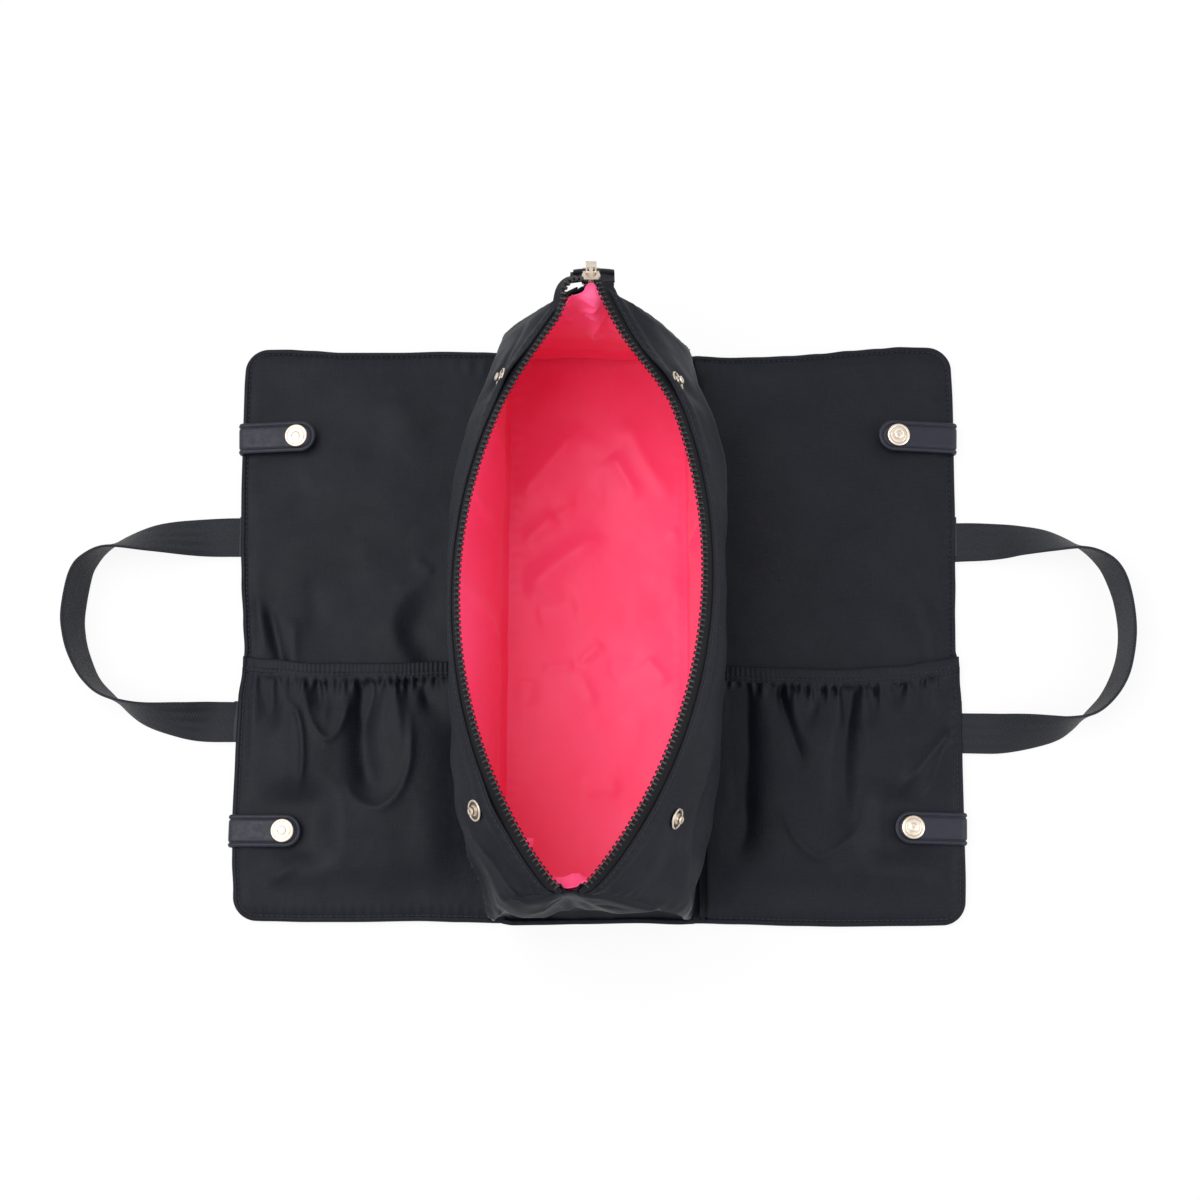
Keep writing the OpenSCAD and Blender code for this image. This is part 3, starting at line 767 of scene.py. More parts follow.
def end_calm(en, v):
    """How freely an end's fabric stands out, from 0 at the zip, and at the far end's foot, to 1."""
    return (1 if en == NEAR else smooth(v / 0.05)) * smooth((0.985 - v) / 0.1)


def end_dip(en, s, v, wide):
    """How far an end's fabric is drawn in beside its seams."""
    deep = mix(1.0, 4.4 if en == NEAR else 1.4, smooth((v - 0.5) / 0.15))
    return deep * beside(s, wide, 0, 2.3)


def edges_in(en, p, s, v, depth, power):
    """An end's sheet with its two edges drawn sideways to the given depth inside the side walls."""
    for sd, k, share in ((LEFT, 0, 1 - s), (RIGHT, -1, s)):
        back = np.abs(p[k, :, 1] - seam(sd, en, v[k])[:, 1]) / WALL_L
        u = back if en == NEAR else 1 - back
        edge = wall_in(sd, u, v[k], depth - wall_relief(sd, u, v[k]))
        shift = (edge - p[k])[..., 0] * smooth((0.965 - v[k]) / 0.03)
        p = p + shift[None, :, None] * (share ** power)[..., None] * np.array([1, 0, 0])
    return p


def outer_end(en):
    s = spaced(0, 1, 1 / 84, (0, 0.008, 0.02, 0.03))
    v = np.linspace(0, 0.985, 130)
    s, v = over(s, v)
    wide = end_width(en, v)
    n = gusset_normal(en, s, v)
    stand = gusset_relief(en, s, v) * end_calm(en, v) - end_dip(en, s, v, wide)
    p = gusset(en, s, v) + n * stand[..., None]
    p = edges_in(en, p, s, v, 0.5 * SHELL_T, 14)
    ob = slab(f"pouch_{END_NAME[en]}_end", p, p - n * SHELL_T, SATIN)
    finish_piece(ob, "pouch", [f"pouch_{END_NAME[en]}_gusset"])


# The base's near and far edges by x, where its cover is turned over a piping
BASE_NEAR = [(-60, 182.6), (-52, 183.7), (-35, 183.5), (-11, 183.0), (25, 182.4), (50, 183.2), (60, 182.8)]


def base_cover():
    """The outer fabric under the pouch, with a rolled edge beyond the near and far ends."""
    x = np.linspace(-58.6, 58.6, 76)
    rows = spaced(-1, 1, 0.02, (0, 0.0007, 0.002, 0.0045, 0.008, 0.012, 0.016, 0.02, 0.024, 0.03))
    x, rows = over(x, rows)
    reach = np.where(rows < 0, table(BASE_NEAR, x), 182.0 + 0.3 * noise(x, 0 * x, 20, 95))
    y = rows * reach
    d = reach - np.abs(y)
    roll = rolled(d, 1.6)
    piping = smooth((3.9 - d) / 1.2)
    pucker = 0.3 * np.sin(x / 1.2 + 2 * noise(x, 0 * x, 14, 96)) * piping
    top = mix(1.15, 2.9 + pucker, piping) * mix(0.45, 1, roll) + 0.6 * (1 - roll)
    low = np.where(d < 1.6, 0.05 + 1.2 * (1 - roll), 0.05)
    z_top = np.stack([x, y, np.maximum(top, low + 0.3)], axis=2)
    z_low = np.stack([x, y, low], axis=2)
    ob = slab("base_cover", z_top, z_low, SATIN, sharp=60)
    finish_piece(ob, "pouch", ["base_outer_panel"])


# ---- lining

LINING_T = 0.6
LINING_DEPTH = 3.0
FLOOR_Z = 4.9
LINING_LOW_V = (FLOOR_Z - WALL_Z) / (RIM_H - WALL_Z)
LINING_IN = 2.8
LINING_GAIN = 1.35
# The floor sheet's outline, and where its near and far edges are drawn in to
FLOOR_X = (-58.5, 55.5)
FLOOR_Y = (-177.0, 176.6)
FLOOR_ENDS = (-173.6, 176.0)


# Creases of the side linings, by place along the bag and height up the wall; positive stands inwards
LINING_FOLDS = {
    LEFT: [
        ([(-160, 128), (-154, 137), (-148, 137)], 5.5, 18.5),
        ([(-156, 128), (-149, 132)], 2.6, 4.0),
        ([(-120, 40), (-90, 80), (-60, 120)], 5.0, 2.0),
        ([(-20, 20), (0, 60), (10, 110)], 6.0, 1.6),
        ([(50, 24), (72, 70), (110, 110)], 5.0, 1.8),
        ([(100, 20), (126, 60), (150, 100)], 5.0, 1.6),
    ],
    RIGHT: [
        ([(-130, 40), (-100, 80), (-80, 120)], 5.0, 1.8),
        ([(-50, 30), (-20, 70), (-10, 118)], 6.0, 1.6),
        ([(40, 20), (60, 60), (66, 112)], 5.0, 2.0),
        ([(96, 30), (110, 70), (140, 104)], 5.0, 1.6),
    ],
}
# The same across the far end, and over the floor by x and y
FAR_LINING_FOLDS = [
    ([(-5, 140), (3, 126), (-6, 112), (4, 100), (-2, 80), (3, 50)], 2.6, 3.2),
    ([(6, 132), (12, 112), (9, 92), (16, 60)], 3.0, -2.0),
    ([(-10, 128), (-16, 104), (-12, 80)], 3.4, 2.0),
    ([(20, 100), (28, 60), (24, 24)], 4.0, 1.8),
    ([(-26, 90), (-34, 56), (-28, 24)], 4.0, 1.6),
]
FLOOR_FOLDS = [
    ([(2, -11), (-15, -26)], 4.0, 1.4),
    ([(-15, -26), (-38, -28)], 5.0, 1.2),
    ([(-15, -26), (-2, -53)], 4.5, 1.2),
    ([(28, -20), (44, -38)], 4.0, 1.5),
    ([(5, -31), (28, -21)], 5.0, -1.2),
    ([(-54, 79), (-30, 108), (-9, 133)], 9.0, 3.4),
    ([(-35, 69), (5, 88)], 8.0, -2.2),
    ([(-50, 20), (-20, 44), (5, 60)], 10.0, 3.4),
    ([(7, 112), (25, 79)], 6.0, 2.4),
    ([(-46, -33), (-46, -53)], 8.0, -1.0),
    ([(-12, -103), (15, -103)], 7.0, 1.0),
    ([(-42, 7), (-12, 14)], 9.0, -2.0),
    ([(45, 62), (52, 54)], 4.0, 1.2),
    ([(-52, 50), (-26, 72), (-6, 84)], 7.0, 2.6),
    ([(14, 136), (30, 104), (48, 78)], 8.0, 2.4),
]


def end_sunk(en, s, v, wide):
    """How far in an end's outer fabric lies from its plain surface."""
    return np.maximum(end_dip(en, s, v, wide) - gusset_relief(en, s, v) * end_calm(en, v), 0)


def corner_sunk(en, sd, v):
    """The same where the side lining meets the end."""
    wide = end_width(en, v)
    share = np.clip(LINING_IN / wide, 0, 0.4)
    return end_sunk(en, share if sd == LEFT else 1 - share, v, wide)


def inner_wall(sd):
    u = spaced(0.0072, 0.9928, 1 / 200, (0, 0.002, 0.005))
    v = spaced(LINING_LOW_V - 0.008, 0.978, 1 / 90, (0, 0.004))
    u, v = over(u, v)
    u = mix(u, 1, corner_sunk(NEAR, sd, v) / WALL_L * (1 - u) ** 12)
    u = u - corner_sunk(FAR, sd, v) / WALL_L * u ** 12
    v = v - 0.03 * smooth((v - 0.9) / 0.078) * smooth((u - 0.95) / 0.04)
    y = mix(-WALL_HALF_L, WALL_HALF_L, u)
    h = v * WALL_H
    depth = mix(LINING_DEPTH, 1.3, smooth((v - 0.86) / 0.1))
    folds = LINING_GAIN * strokes(y, h, LINING_FOLDS[sd])
    folds = folds + 0.9 * noise(y, h, 34, 31 + sd) + 0.5 * noise(y + 0.6 * h, h * 0.6, 14, 33 + sd)
    folds = (folds + 0.12 * noise(y, h, 6, 35 + sd)) * smooth((0.985 - v) / 0.06) * smooth(v / 0.05)
    gather = 0.35 * np.sin(y / 1.5) * smooth((v - 0.8) / 0.12) * (0.5 + 0.5 * noise(y, h, 30, 37))
    depth = depth + np.maximum(folds, -0.6) - low_bulge(sd, u, v) + gather
    short = np.maximum(SHELL_T + 0.6 + 1.1 * near_stud(sd, u, v, 8.5) - wall_relief(sd, u, v) - depth, 0)
    p = wall_in(sd, u, v, depth + short * smooth((0.972 - v) / 0.022))
    n = wall_normal(sd, u, v)
    ob = slab(f"lining_{SIDE_NAME[sd]}_side", p, p - n * LINING_T, LINING)
    finish_piece(ob, "pouch", [f"lining_{SIDE_NAME[sd]}_wall"])


def inner_end(en):
    s = np.linspace(0, 1, 70)
    v = np.linspace(LINING_LOW_V - 0.008, 0.955 if en == NEAR else 0.99, 120)
    s, v = over(s, v)
    wide = end_width(en, v)
    share = np.clip(LINING_IN / wide, 0, 0.3)
    s = mix(share, 1 - share, s)
    n = gusset_normal(en, s, v)
    x, h = (s - 0.5) * wide, v * WALL_H
    if en == FAR:
        fold = 3.0 * bell(x, 5) * smooth((v - 0.25) / 0.3)
        fold = fold + strokes(x, h, FAR_LINING_FOLDS) + 1.0 * noise(x, h, 16, 41)
        fold = fold + 3.0 * bell(v - LINING_LOW_V - 0.02, 0.05)
    else:
        fold = 7.5 * bell(v - 0.9, 0.05) * np.cos(x / wide * math.pi) + 1.2 * noise(x, h, 12, 42)
        fold = fold + stroke(x, h, [(-10, 130), (-3, 138), (6, 133), (9, 140)], 2.2, 3.4)
        fold = fold + 0.8 * np.sin(x / 1.4) * bell(v - 0.92, 0.04)
    calm = smooth((v - LINING_LOW_V + 0.02) / 0.06) * smooth((1 - v) / 0.06)
    sunk = end_sunk(en, s, v, wide)
    sunk = sunk + end_dip(en, 0, v, wide) * beside(s, wide, LINING_IN, 2.5)
    lean = smooth((v - 0.94) / 0.045) * (en == FAR) * np.sin(math.pi * np.clip(s, 0, 1)) ** 0.8
    depth = mix(LINING_DEPTH + sunk + np.maximum(fold * calm, 0), -0.4, lean)
    p = gusset(en, s, v) - n * depth[..., None]
    p[..., 2] += 1.0 * lean
    p = edges_in(en, p, s, v, SHELL_T + 0.9, 2)
    p[..., 2] -= 0.7 * (en == FAR) * smooth((s - 0.6) / 0.15) * smooth((v - 0.88) / 0.06)
    ob = slab(f"lining_{END_NAME[en]}_inside", p, p - n * LINING_T, LINING)
    finish_piece(ob, "pouch", [f"lining_{END_NAME[en]}_end"])


def inner_floor():
    x = spaced(*FLOOR_X, 1.4, (0, 0.6, 1.2))
    y = spaced(*FLOOR_Y, 1.6, (0, 0.6, 1.2))
    x, y = over(x, y)
    z = strokes(x, y, FLOOR_FOLDS) + 0.9 * noise(x + 0.5 * y, y - 0.5 * x, 38, 51)
    z = z + 0.4 * noise(x, y, 15, 52) + 0.1 * noise(x, y, 6, 53)
    dx = np.minimum(x - FLOOR_X[0], FLOOR_X[1] - x)
    d = np.minimum(dx, np.minimum(y - FLOOR_Y[0], FLOOR_Y[1] - y))
    pucker = 0.25 * np.sin(np.where(dx < 12, y, x) / 1.3 + noise(x, y, 16, 54))
    z = z * smooth(d / 12) + 0.2 * bell(d - 6, 3) + 0.6 * pucker * bell(d - 5, 4)
    y_in = mix(*FLOOR_ENDS, (y - FLOOR_Y[0]) / (FLOOR_Y[1] - FLOOR_Y[0]))
    u = (y_in + WALL_HALF_L) / WALL_L
    v = np.full_like(u, LINING_LOW_V)
    left, right = (wall_in(sd, u, v, SHELL_T + 0.9 - wall_relief(sd, u, v))[..., 0] for sd in (LEFT, RIGHT))
    share = (x - FLOOR_X[0]) / (FLOOR_X[1] - FLOOR_X[0])
    p = np.stack([mix(left, right, share), y_in, FLOOR_Z + 1.3 + np.maximum(z, -1.2)], axis=2)
    low = p - np.array([0, 0, LINING_T])
    ob = slab("lining_floor_sheet", p, low, LINING)
    finish_piece(ob, "pouch", ["lining_floor"])


# ---- zip

TOOTH_PITCH = 3.2
TAIL_LENGTH = 20.0
TAIL_DROP = math.radians(50)
TAIL_IN = 5.1


def tail_point(x, y, z):
    c, s = math.cos(TAIL_DROP), math.sin(TAIL_DROP)
    return FAR_APEX + np.array([x, y * c + z * s, -y * s + z * c])


# The left tape leaves the fabric before the slider and stands out in a small loop
LOOP_START_U = 0.945
LOOP = [(-20.0, 165.0, 147.5), (-19.4, 172.5, 149.0), (-15.2, 178.2, 147.6), (-10.0, 179.2, 145.2)]
LOOP_ACROSS = np.array([0.15, 0.05, 1.0])
# Across a tape from its outer edge to the cord the teeth grip: place and half its thickness
TAPE_SECTION = [(-11.0, 0.3), (-10.8, 0.4), (-8, 0.4), (-5.5, 0.4), (-3.2, 0.4), (-2.2, 0.42), (-1.2, 0.75),
                (-0.2, 0.85), (0.35, 0.6), (0.5, 0.2)]


def chain(sd):
    """The line of a row of teeth: points, direction across towards the mouth, and facing."""
    last = LOOP_START_U if sd == LEFT else 0.995
    us = np.linspace(0.001, last, 900)
    p = wall_in(sd, us, 1.0, np.full(900, TAPE_T / 2))
    t = unit(np.gradient(p, axis=0))
    n = unit(np.cross(t, wall(sd, us, 1.0) - wall(sd, us, 0.96)))
    a = np.cross(n, t)
    tail_y = np.linspace(3, TAIL_LENGTH, 60)
    c, d = math.cos(TAIL_DROP), math.sin(TAIL_DROP)
    tail = np.array([tail_point(sd * (TAIL_IN - 1.5), y, 0) for y in tail_y])
    tail_n = np.tile([0, d, c], (60, 1)) * (1 if n[-1, 2] > 0 else -1)
    tail_a = np.tile([-sd, 0, 0], (60, 1))
    if sd == LEFT:
        way = np.vstack([p[-1], LOOP, tail[0]])
        mid = along(way, np.linspace(0.02, 0.98, 90))
        f = np.linspace(0, 1, 90)[:, None]
        mid_a = unit(np.where(f < 0.6, mix(a[-1], LOOP_ACROSS, smooth(f * 3)),
                              mix(LOOP_ACROSS, tail_a[0], smooth((f - 0.6) / 0.4))))
    else:
        way = np.vstack([p[-2], p[-1], tail[0], tail[1]])
        mid = along(way, np.linspace(0.36, 0.64, 12))
        f = np.linspace(0, 1, 12)[:, None]
        mid_a = unit(mix(a[-1], tail_a[0], smooth(f)))
    mid_n = unit(mix(n[-1], tail_n[0], smooth(f)))
    p = np.vstack([p, mid, tail])
    a = np.vstack([a, mid_a, tail_a])
    n = np.vstack([n, mid_n, tail_n])
    t = unit(np.gradient(p, axis=0))
    n = unit(n - (n * t).sum(1, keepdims=True) * t)
    a = a - (a * t).sum(1, keepdims=True) * t
    a = unit(a - (a * n).sum(1, keepdims=True) * n)
    return p, t, a, n


def tape_side(sd):
    p, t, a, n = chain(sd)
    s = run_of(p)
    pick = np.searchsorted(s, np.linspace(0, s[-1], 300)).clip(0, len(s) - 1)
    p, t, a, n, s = p[pick], t[pick], a[pick], n[pick], s[pick]
    free = smooth((s - (s[-1] - TAIL_LENGTH - (26 if sd == LEFT else 6))) / 12)[:, None]
    wide = mix(2.5, 11.0, smooth(s / 15))[:, None]
    droop = (0.42 if sd == LEFT else 0.28) * free
    hang = unit(mix(-a, np.array([0, 0.15, -1.0]), droop))
    top, low = (np.stack([p + (hang * np.minimum(max(-w, 0), wide + 0.02 * w) + a * max(w, 0)) + f * n * h
                          for w, h in TAPE_SECTION], axis=1) for f in (1, -1))
    ob = slab(f"zip_{SIDE_NAME[sd]}_tape", top, low, TAPE, sharp=60)
    finish_piece(ob, "pouch", [f"zip_tape_{SIDE_NAME[sd]}"])


def tooth_shape():
    """A moulded tooth: a foot that grips the cord, a waist and a rounded head."""
    parts = [(-1.9, 0.45, 0.7), (-1.7, 0.72, 1.2), (-0.2, 0.8, 1.5), (0.35, 0.66, 1.3),
             (0.65, 0.62, 1.15), (1.0, 0.9, 1.2), (1.5, 0.94, 1.15), (1.85, 0.7, 0.85), (2.0, 0.3, 0.4)]
    rings = []
    for a, t, n in parts:
        c = 0.7
        rings.append([(t, a, n * c), (t * c, a, n), (-t * c, a, n), (-t, a, n * c),
                      (-t, a, -n * c), (-t * c, a, -n), (t * c, a, -n), (t, a, -n * c)])
    return np.array(rings)


def teeth_row(sd):
    shape = tooth_shape()
    p, t, a, n = chain(sd)
    s = run_of(p)
    first = TOOTH_PITCH * (1.0 if sd == LEFT else 1.5)
    parts = []
    for at in np.arange(first, s[-1] - 1.0, TOOTH_PITCH):
        k = np.searchsorted(s, at)
        parts.append(p[k] + shape[..., :1] * t[k] + shape[..., 1:2] * a[k] + shape[..., 2:3] * n[k])
    ob = join(f"zip_{SIDE_NAME[sd]}_moulded_teeth", parts, TEETH, sharp=35)
    finish_piece(ob, "pouch", [f"zip_teeth_{SIDE_NAME[sd]}"])


def zip_end():
    """The folded fabric tab sewn over the ends of both tapes."""
    x = np.linspace(-10.5, 13.5, 26)
    section = [(17.4, 1.0), (17.9, 1.35), (19.5, 1.45), (21.2, 1.2), (21.9, 0.4), (21.9, -0.5), (21.2, -1.2),
               (19.5, -1.4), (17.9, -1.3), (17.4, -0.9)]
    rings = []
    for k in x:
        end = 1 - 0.25 * (abs(k - 1.5) / 12) ** 4
        rings.append([tail_point(k, y, z * end - 0.004 * (k - 1.5) ** 2) for y, z in section])
    uv = grid_uv(x, np.linspace(0, 12, len(section)))
    ob = tube("zip_folded_end", np.array(rings), SATIN, uv, sharp=60)
    finish_piece(ob, "pouch", ["zip_end_tab"])


# ---- studs and caps

# Turned shapes: (radius, height), then how much painted shade darkens the metal, for the grooves
STUD_PROFILE = [(6.2, 0), (6.25, 0.35), (6.0, 0.8), (5.6, 0.98), (5.25, 0.85), (4.95, 0.4, 0.9),
                (4.6, 0.15, 0.9), (3.5, 0.12, 0.8), (3.2, 0.35, 0.6), (3.0, 0.9), (2.45, 1.05),
                (2.25, 1.5, 0.7), (2.25, 2.2, 0.6), (2.5, 2.7), (2.4, 3.2), (1.7, 3.5), (1.0, 3.35),
                (0.6, 3.1, 0.8), (0, 3.05, 0.8)]
BACKING_PROFILE = [(4.3, 0), (4.4, 0.25), (4.2, 0.5), (2.0, 0.55), (0, 0.5)]
CAP_PROFILE = [(6.8, 0), (7.15, 0.3), (7.2, 0.9), (7.0, 1.35), (6.6, 1.62), (6.1, 1.7), (5.8, 1.62),
               (5.5, 1.36, 0.5), (5.2, 1.36, 0.5), (4.95, 1.62), (4.6, 1.72), (3.2, 1.8), (2.85, 1.7),
               (2.65, 1.58, 0.55), (2.4, 1.6, 0.55), (2.1, 1.8), (1.2, 1.9), (0.6, 1.84, 0.5), (0, 1.8, 0.5)]
SOCKET_PROFILE = [(6.1, 0), (6.15, 0.3), (5.7, 0.75), (4.9, 0.8), (4.5, 0.55), (4.1, 0.6), (3.8, 1.05),
                  (3.3, 1.1), (3.0, 0.9), (2.9, 0.45), (2.4, 0.3), (0, 0.3)]


def stud(sd, en):
    u, v = STUD_PLACE[(sd, en)]
    n = wall_normal(sd, u, v)
    rise = unit(wall(sd, u, v + 0.02) - wall(sd, u, v - 0.02))
    rings = placed(lathe(STUD_PROFILE), wall(sd, u, v) + 0.35 * n, n - STUD_TURN[en] * rise)
    name = f"stud_{SIDE_NAME[sd]}_{END_NAME[en]}"
    ob = tube(f"{name}_metal", rings, GOLD, groove_shade_uv(STUD_PROFILE), sharp=30)
    finish_piece(ob, "pouch", [name])


def stud_backings():
    """The washers behind the studs, between the outer fabric and the lining."""
    parts = []
    for (sd, _), (u, v) in STUD_PLACE.items():
        at = wall_in(sd, u, v, SHELL_T + 0.05 - wall_relief(sd, np.array(u), np.array(v)))
        parts.append(placed(lathe(BACKING_PROFILE, 32), at, -wall_normal(sd, u, v)))
    finish_piece(join("stud_backing_washers", parts, GOLD, sharp=30), "pouch", ["stud_backings"])


TAB_X = 225.2
TAB_Z = 8.3
TAB_TILT = math.radians(4.5)
TAB_W = 20.0
SNAP_Y = 124.0
TAB_T = 2.2
TAB_STITCH_IN = 2.9
# Each tab lies its own way: place along the flap's edge, how far in it starts, length, cap's reach,
# and degrees its tip is turned towards the far end
TAB_PLACE = {(LEFT, FAR): (120.7, 1.1, 46.2, 33.9, 1.6), (RIGHT, FAR): (120.9, 1.4, 47.2, 34.6, 2.0),
             (LEFT, NEAR): (-126.6, 2.0, 42.2, 30.8, -0.4), (RIGHT, NEAR): (-125.6, 2.4, 42.0, 30.8, 1.4)}


def tab_spot(sd, en, a, b, x, z):
    """A point of a tab in place, a from its fold line towards the tip and b across it."""
    y, shift, _, _, turn = TAB_PLACE[(sd, en)]
    c, s = math.cos(math.radians(turn)), math.sin(math.radians(turn))
    return np.stack([sd * (x - shift + b * s) + 0 * a, y + b * c + a * s, z + 0 * a], axis=-1)


def tab_line(sd, en, a, h):
    """A point on a tab: a from its fold line towards the tip, h out of its face."""
    x = TAB_X - a * math.cos(TAB_TILT) + h * math.sin(TAB_TILT)
    z = TAB_Z + a * math.sin(TAB_TILT) + h * math.cos(TAB_TILT)
    return tab_spot(sd, en, a, 0.0, x, z)


def tab_name(sd, en):
    return f"{SIDE_NAME[sd]}_{END_NAME[en]}_tab"


def tab_cap(sd, en):
    up = tab_line(sd, en, 0, 1) - tab_line(sd, en, 0, 0)
    reach = TAB_PLACE[(sd, en)][3]
    rings = placed(lathe(CAP_PROFILE, 72), tab_line(sd, en, reach, TAB_T / 2 + 0.05), up)
    name = tab_name(sd, en)
    ob = tube(f"{name}_snap_cap", rings, GOLD, groove_shade_uv(CAP_PROFILE, 72), sharp=30)
    finish_piece(ob, name, [f"{name}_cap"])
    rings = placed(lathe(SOCKET_PROFILE), tab_line(sd, en, reach, 0.1 - TAB_T / 2), -up)
    ob = tube(f"{name}_snap_socket", rings, GOLD, sharp=30)
    finish_piece(ob, name, [f"{name}_socket"])


# The strap starts on the flap's outer edge, folds over it and runs inwards: [(x, z), ...]
TAB_WRAP = [(226.3, 0.9), (227.1, 2.6), (227.35, 4.6), (227.1, 6.6), (225.9, 8.1), (223.6, 8.6)]


def tab_path(length):
    """The strap's middle line in x and z, and how far along it each point is."""
    bend = along(TAB_WRAP, np.linspace(0, 1, 24))
    tip = np.array([TAB_X - length * math.cos(TAB_TILT), TAB_Z + length * math.sin(TAB_TILT)])
    p = np.vstack([bend, mix(bend[-1], tip, np.linspace(0.04, 1, 40)[:, None])])
    return p, run_of(p)


def tab_height(d):
    """Height of a tab's face at distance d from its edge."""
    padding = 0.22 * smooth((d - 3.2) / 1.4)
    return rolled(d, 1.0) + 0.34 * bell(d - 1.7, 0.8) - 0.5 * bell(d - TAB_STITCH_IN, 0.5) + padding


def tab_strap(sd, en):
    path, s = tab_path(TAB_PLACE[(sd, en)][2])
    total = s[-1]
    grads = np.gradient(path, axis=0)
    face = unit(np.stack([-grads[:, 1], grads[:, 0]], axis=1) * -1)

    def at(a, b, h):
        x, z = np.interp(a, s, path[:, 0]), np.interp(a, s, path[:, 1])
        nx, nz = np.interp(a, s, face[:, 0]), np.interp(a, s, face[:, 1])
        return tab_spot(sd, en, np.maximum(a - 9, 0), b, x + nx * h, z + nz * h)

    def outline(d):
        w = TAB_W / 2 - d
        straight = np.linspace(0, total - TAB_W / 2, 40)
        turn = np.linspace(-math.pi / 2, math.pi / 2, 26)[1:-1]
        a = np.concatenate([straight, total - TAB_W / 2 + w * np.cos(turn), straight[::-1]])
        b = np.concatenate([0 * straight - w, w * np.sin(turn), 0 * straight + w])
        return a, b

    insets = [0, 0.12, 0.3, 0.55, 0.9, 1.3, 1.7, 2.1, 2.45, 2.7, 2.9, 3.1, 3.35, 3.8, 4.6, 6, 8, 9.95]
    rings = [at(*outline(d), -1.0) for d in (9.9, 5, 0.25)]
    rings = np.array(rings + [at(*outline(d), float(tab_height(d))) for d in insets])
    name = tab_name(sd, en)
    rows, cols = rings.shape[:2]
    loop = [i * cols for i in range(rows - 1, -1, -1)] + [i * cols + cols - 1 for i in range(rows)]
    top = (rows - 1) * cols + np.arange(cols)
    half = range(cols // 2 - 1)
    strips = [(top[cols - 1 - j], top[cols - 2 - j], top[j + 1], top[j]) for j in half]
    under = [(cols - 2 - j, cols - 1 - j, j, j + 1) for j in half]
    faces = np.concatenate([grid_quads(rows, cols), strips, under])
    ob = make_mesh(f"{name}_leather", rings.reshape(-1, 3), faces, LEATHER, None, 50, [loop])
    finish_piece(ob, None, [f"{name}_strap"])
    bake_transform(ob)
    a, b = outline(TAB_STITCH_IN)
    keep = a > 12.0
    threads = at(a[keep], b[keep], float(tab_height(TAB_STITCH_IN)) + 0.05)
    ups = at(a[keep], b[keep], 2.0) - at(a[keep], b[keep], 1.0)
    sew(f"{name}_stitches", stitch_parts(threads, ups, 1.9, 2.6, 0.2), name)


# ---- flaps

FLAP_T = 5.8
FLAP_IN = 61.9
FLAP_OUT = 225.7
FLAP_REACH = FLAP_OUT - FLAP_IN
CORNER_R = 14.0
STITCH_IN = 3.5

# Outline of the flaps in place: the outer edge by y, the far and near edges by x
OUTER_EDGE = {
    LEFT: [(-183, 222.5), (-165, 222.9), (-145, 224.2), (-120, 224.8), (-83, 224.2), (-45, 223.4),
           (-27, 221.4), (-14, 220.6), (5, 222.0), (30, 223.8), (58, 225.0), (95, 225.6), (157, 225.6),
           (183, 224.6)],
    RIGHT: [(-183, 223.8), (-150, 224.8), (-95, 224.9), (-45, 225.4), (-33, 224.8), (-23, 225.0),
            (-14, 222.9), (5, 223.2), (30, 224.1), (82, 225.2), (147, 225.8), (183, 225.0)],
}
FAR_EDGE = {
    LEFT: [(60, 178.6), (75, 179.2), (100, 179.6), (127, 178.9), (165, 178.9), (184, 180.2), (200, 181.0),
           (226, 180.6)],
    RIGHT: [(60, 176.8), (84, 175.6), (103, 176.0), (122, 176.8), (142, 178.2), (161, 180.2), (180, 181.6),
            (193, 182.7), (206, 182.4), (226, 181.4)],
}
NEAR_EDGE = {
    LEFT: [(60, 182.4), (84, 181.9), (110, 181.2), (150, 181.8), (180, 181.8), (203, 181.3), (226, 180.6)],
    RIGHT: [(60, 182.6), (84, 183.2), (122, 184.2), (147, 184.6), (190, 184.2), (226, 183.6)],
}

# Creases of a flap's upper face, in its own x (outwards) and y, width and height
FLAP_FOLDS = {
    LEFT: [
        ([(207, 16), (203, 2), (197, -22)], 3.2, -3.0, (0.3, 0)),
        ([(214, 22), (210, 4), (206, -18)], 4.0, 1.7),
        ([(190, 8), (189, -22)], 4.5, 1.6, (0.3, 0)),
        ([(180, 36), (177, 12), (176, -6)], 6.0, -1.0),
        ([(96, 30), (112, 27), (124, 16), (128, 2), (124, -13), (116, -24)], 8.0, 1.5, (0.4, 0)),
        ([(86, 16), (104, 13), (114, 0), (111, -12), (104, -24)], 11.0, -3.0, (0.4, 0)),
        ([(116, 43), (102, 34)], 4.0, 0.9),
        ([(190, 92), (142, 114)], 11.0, 0.8),
        ([(132, 152), (113, 112)], 12.0, 0.9),
        ([(150, 60), (140, 20)], 12.0, 0.9),
    ],
    RIGHT: [
        ([(182, 80), (181, 70), (160, 58), (141, 46)], 3.2, 0.9),
        ([(130, 50), (134, 30)], 6.0, -1.0),
        ([(190, 26), (198, 4), (204, -18)], 4.0, -0.9, (0.3, 0)),
        ([(209, 20), (214, 2), (218, -16)], 3.0, -1.0, (0.3, 0)),
        ([(203, 22), (210, -16)], 3.0, 0.8, (0.3, 0)),
        ([(96, 84), (173, 83)], 5.0, 0.6),
        ([(84, 128), (120, 100), (150, 96)], 11.0, 0.8),
        ([(150, 20), (160, -16)], 9.0, 0.8),
    ],
}


def rounded(s, t):
    """The flap's plain rectangle with its two outer corners drawn in to a round."""
    ds, dt = FLAP_REACH - s, HALF_L - np.abs(t)
    r = CORNER_R
    a, b = np.clip(1 - ds / r, 0, 1), np.clip(1 - dt / r, 0, 1)
    s2 = np.where((a > 0) & (b > 0), FLAP_REACH - r + r * a * np.sqrt(1 - b * b / 2), s)
    t2 = np.where((a > 0) & (b > 0), np.sign(t) * (HALF_L - r + r * b * np.sqrt(1 - a * a / 2)), t)
    return s2, t2


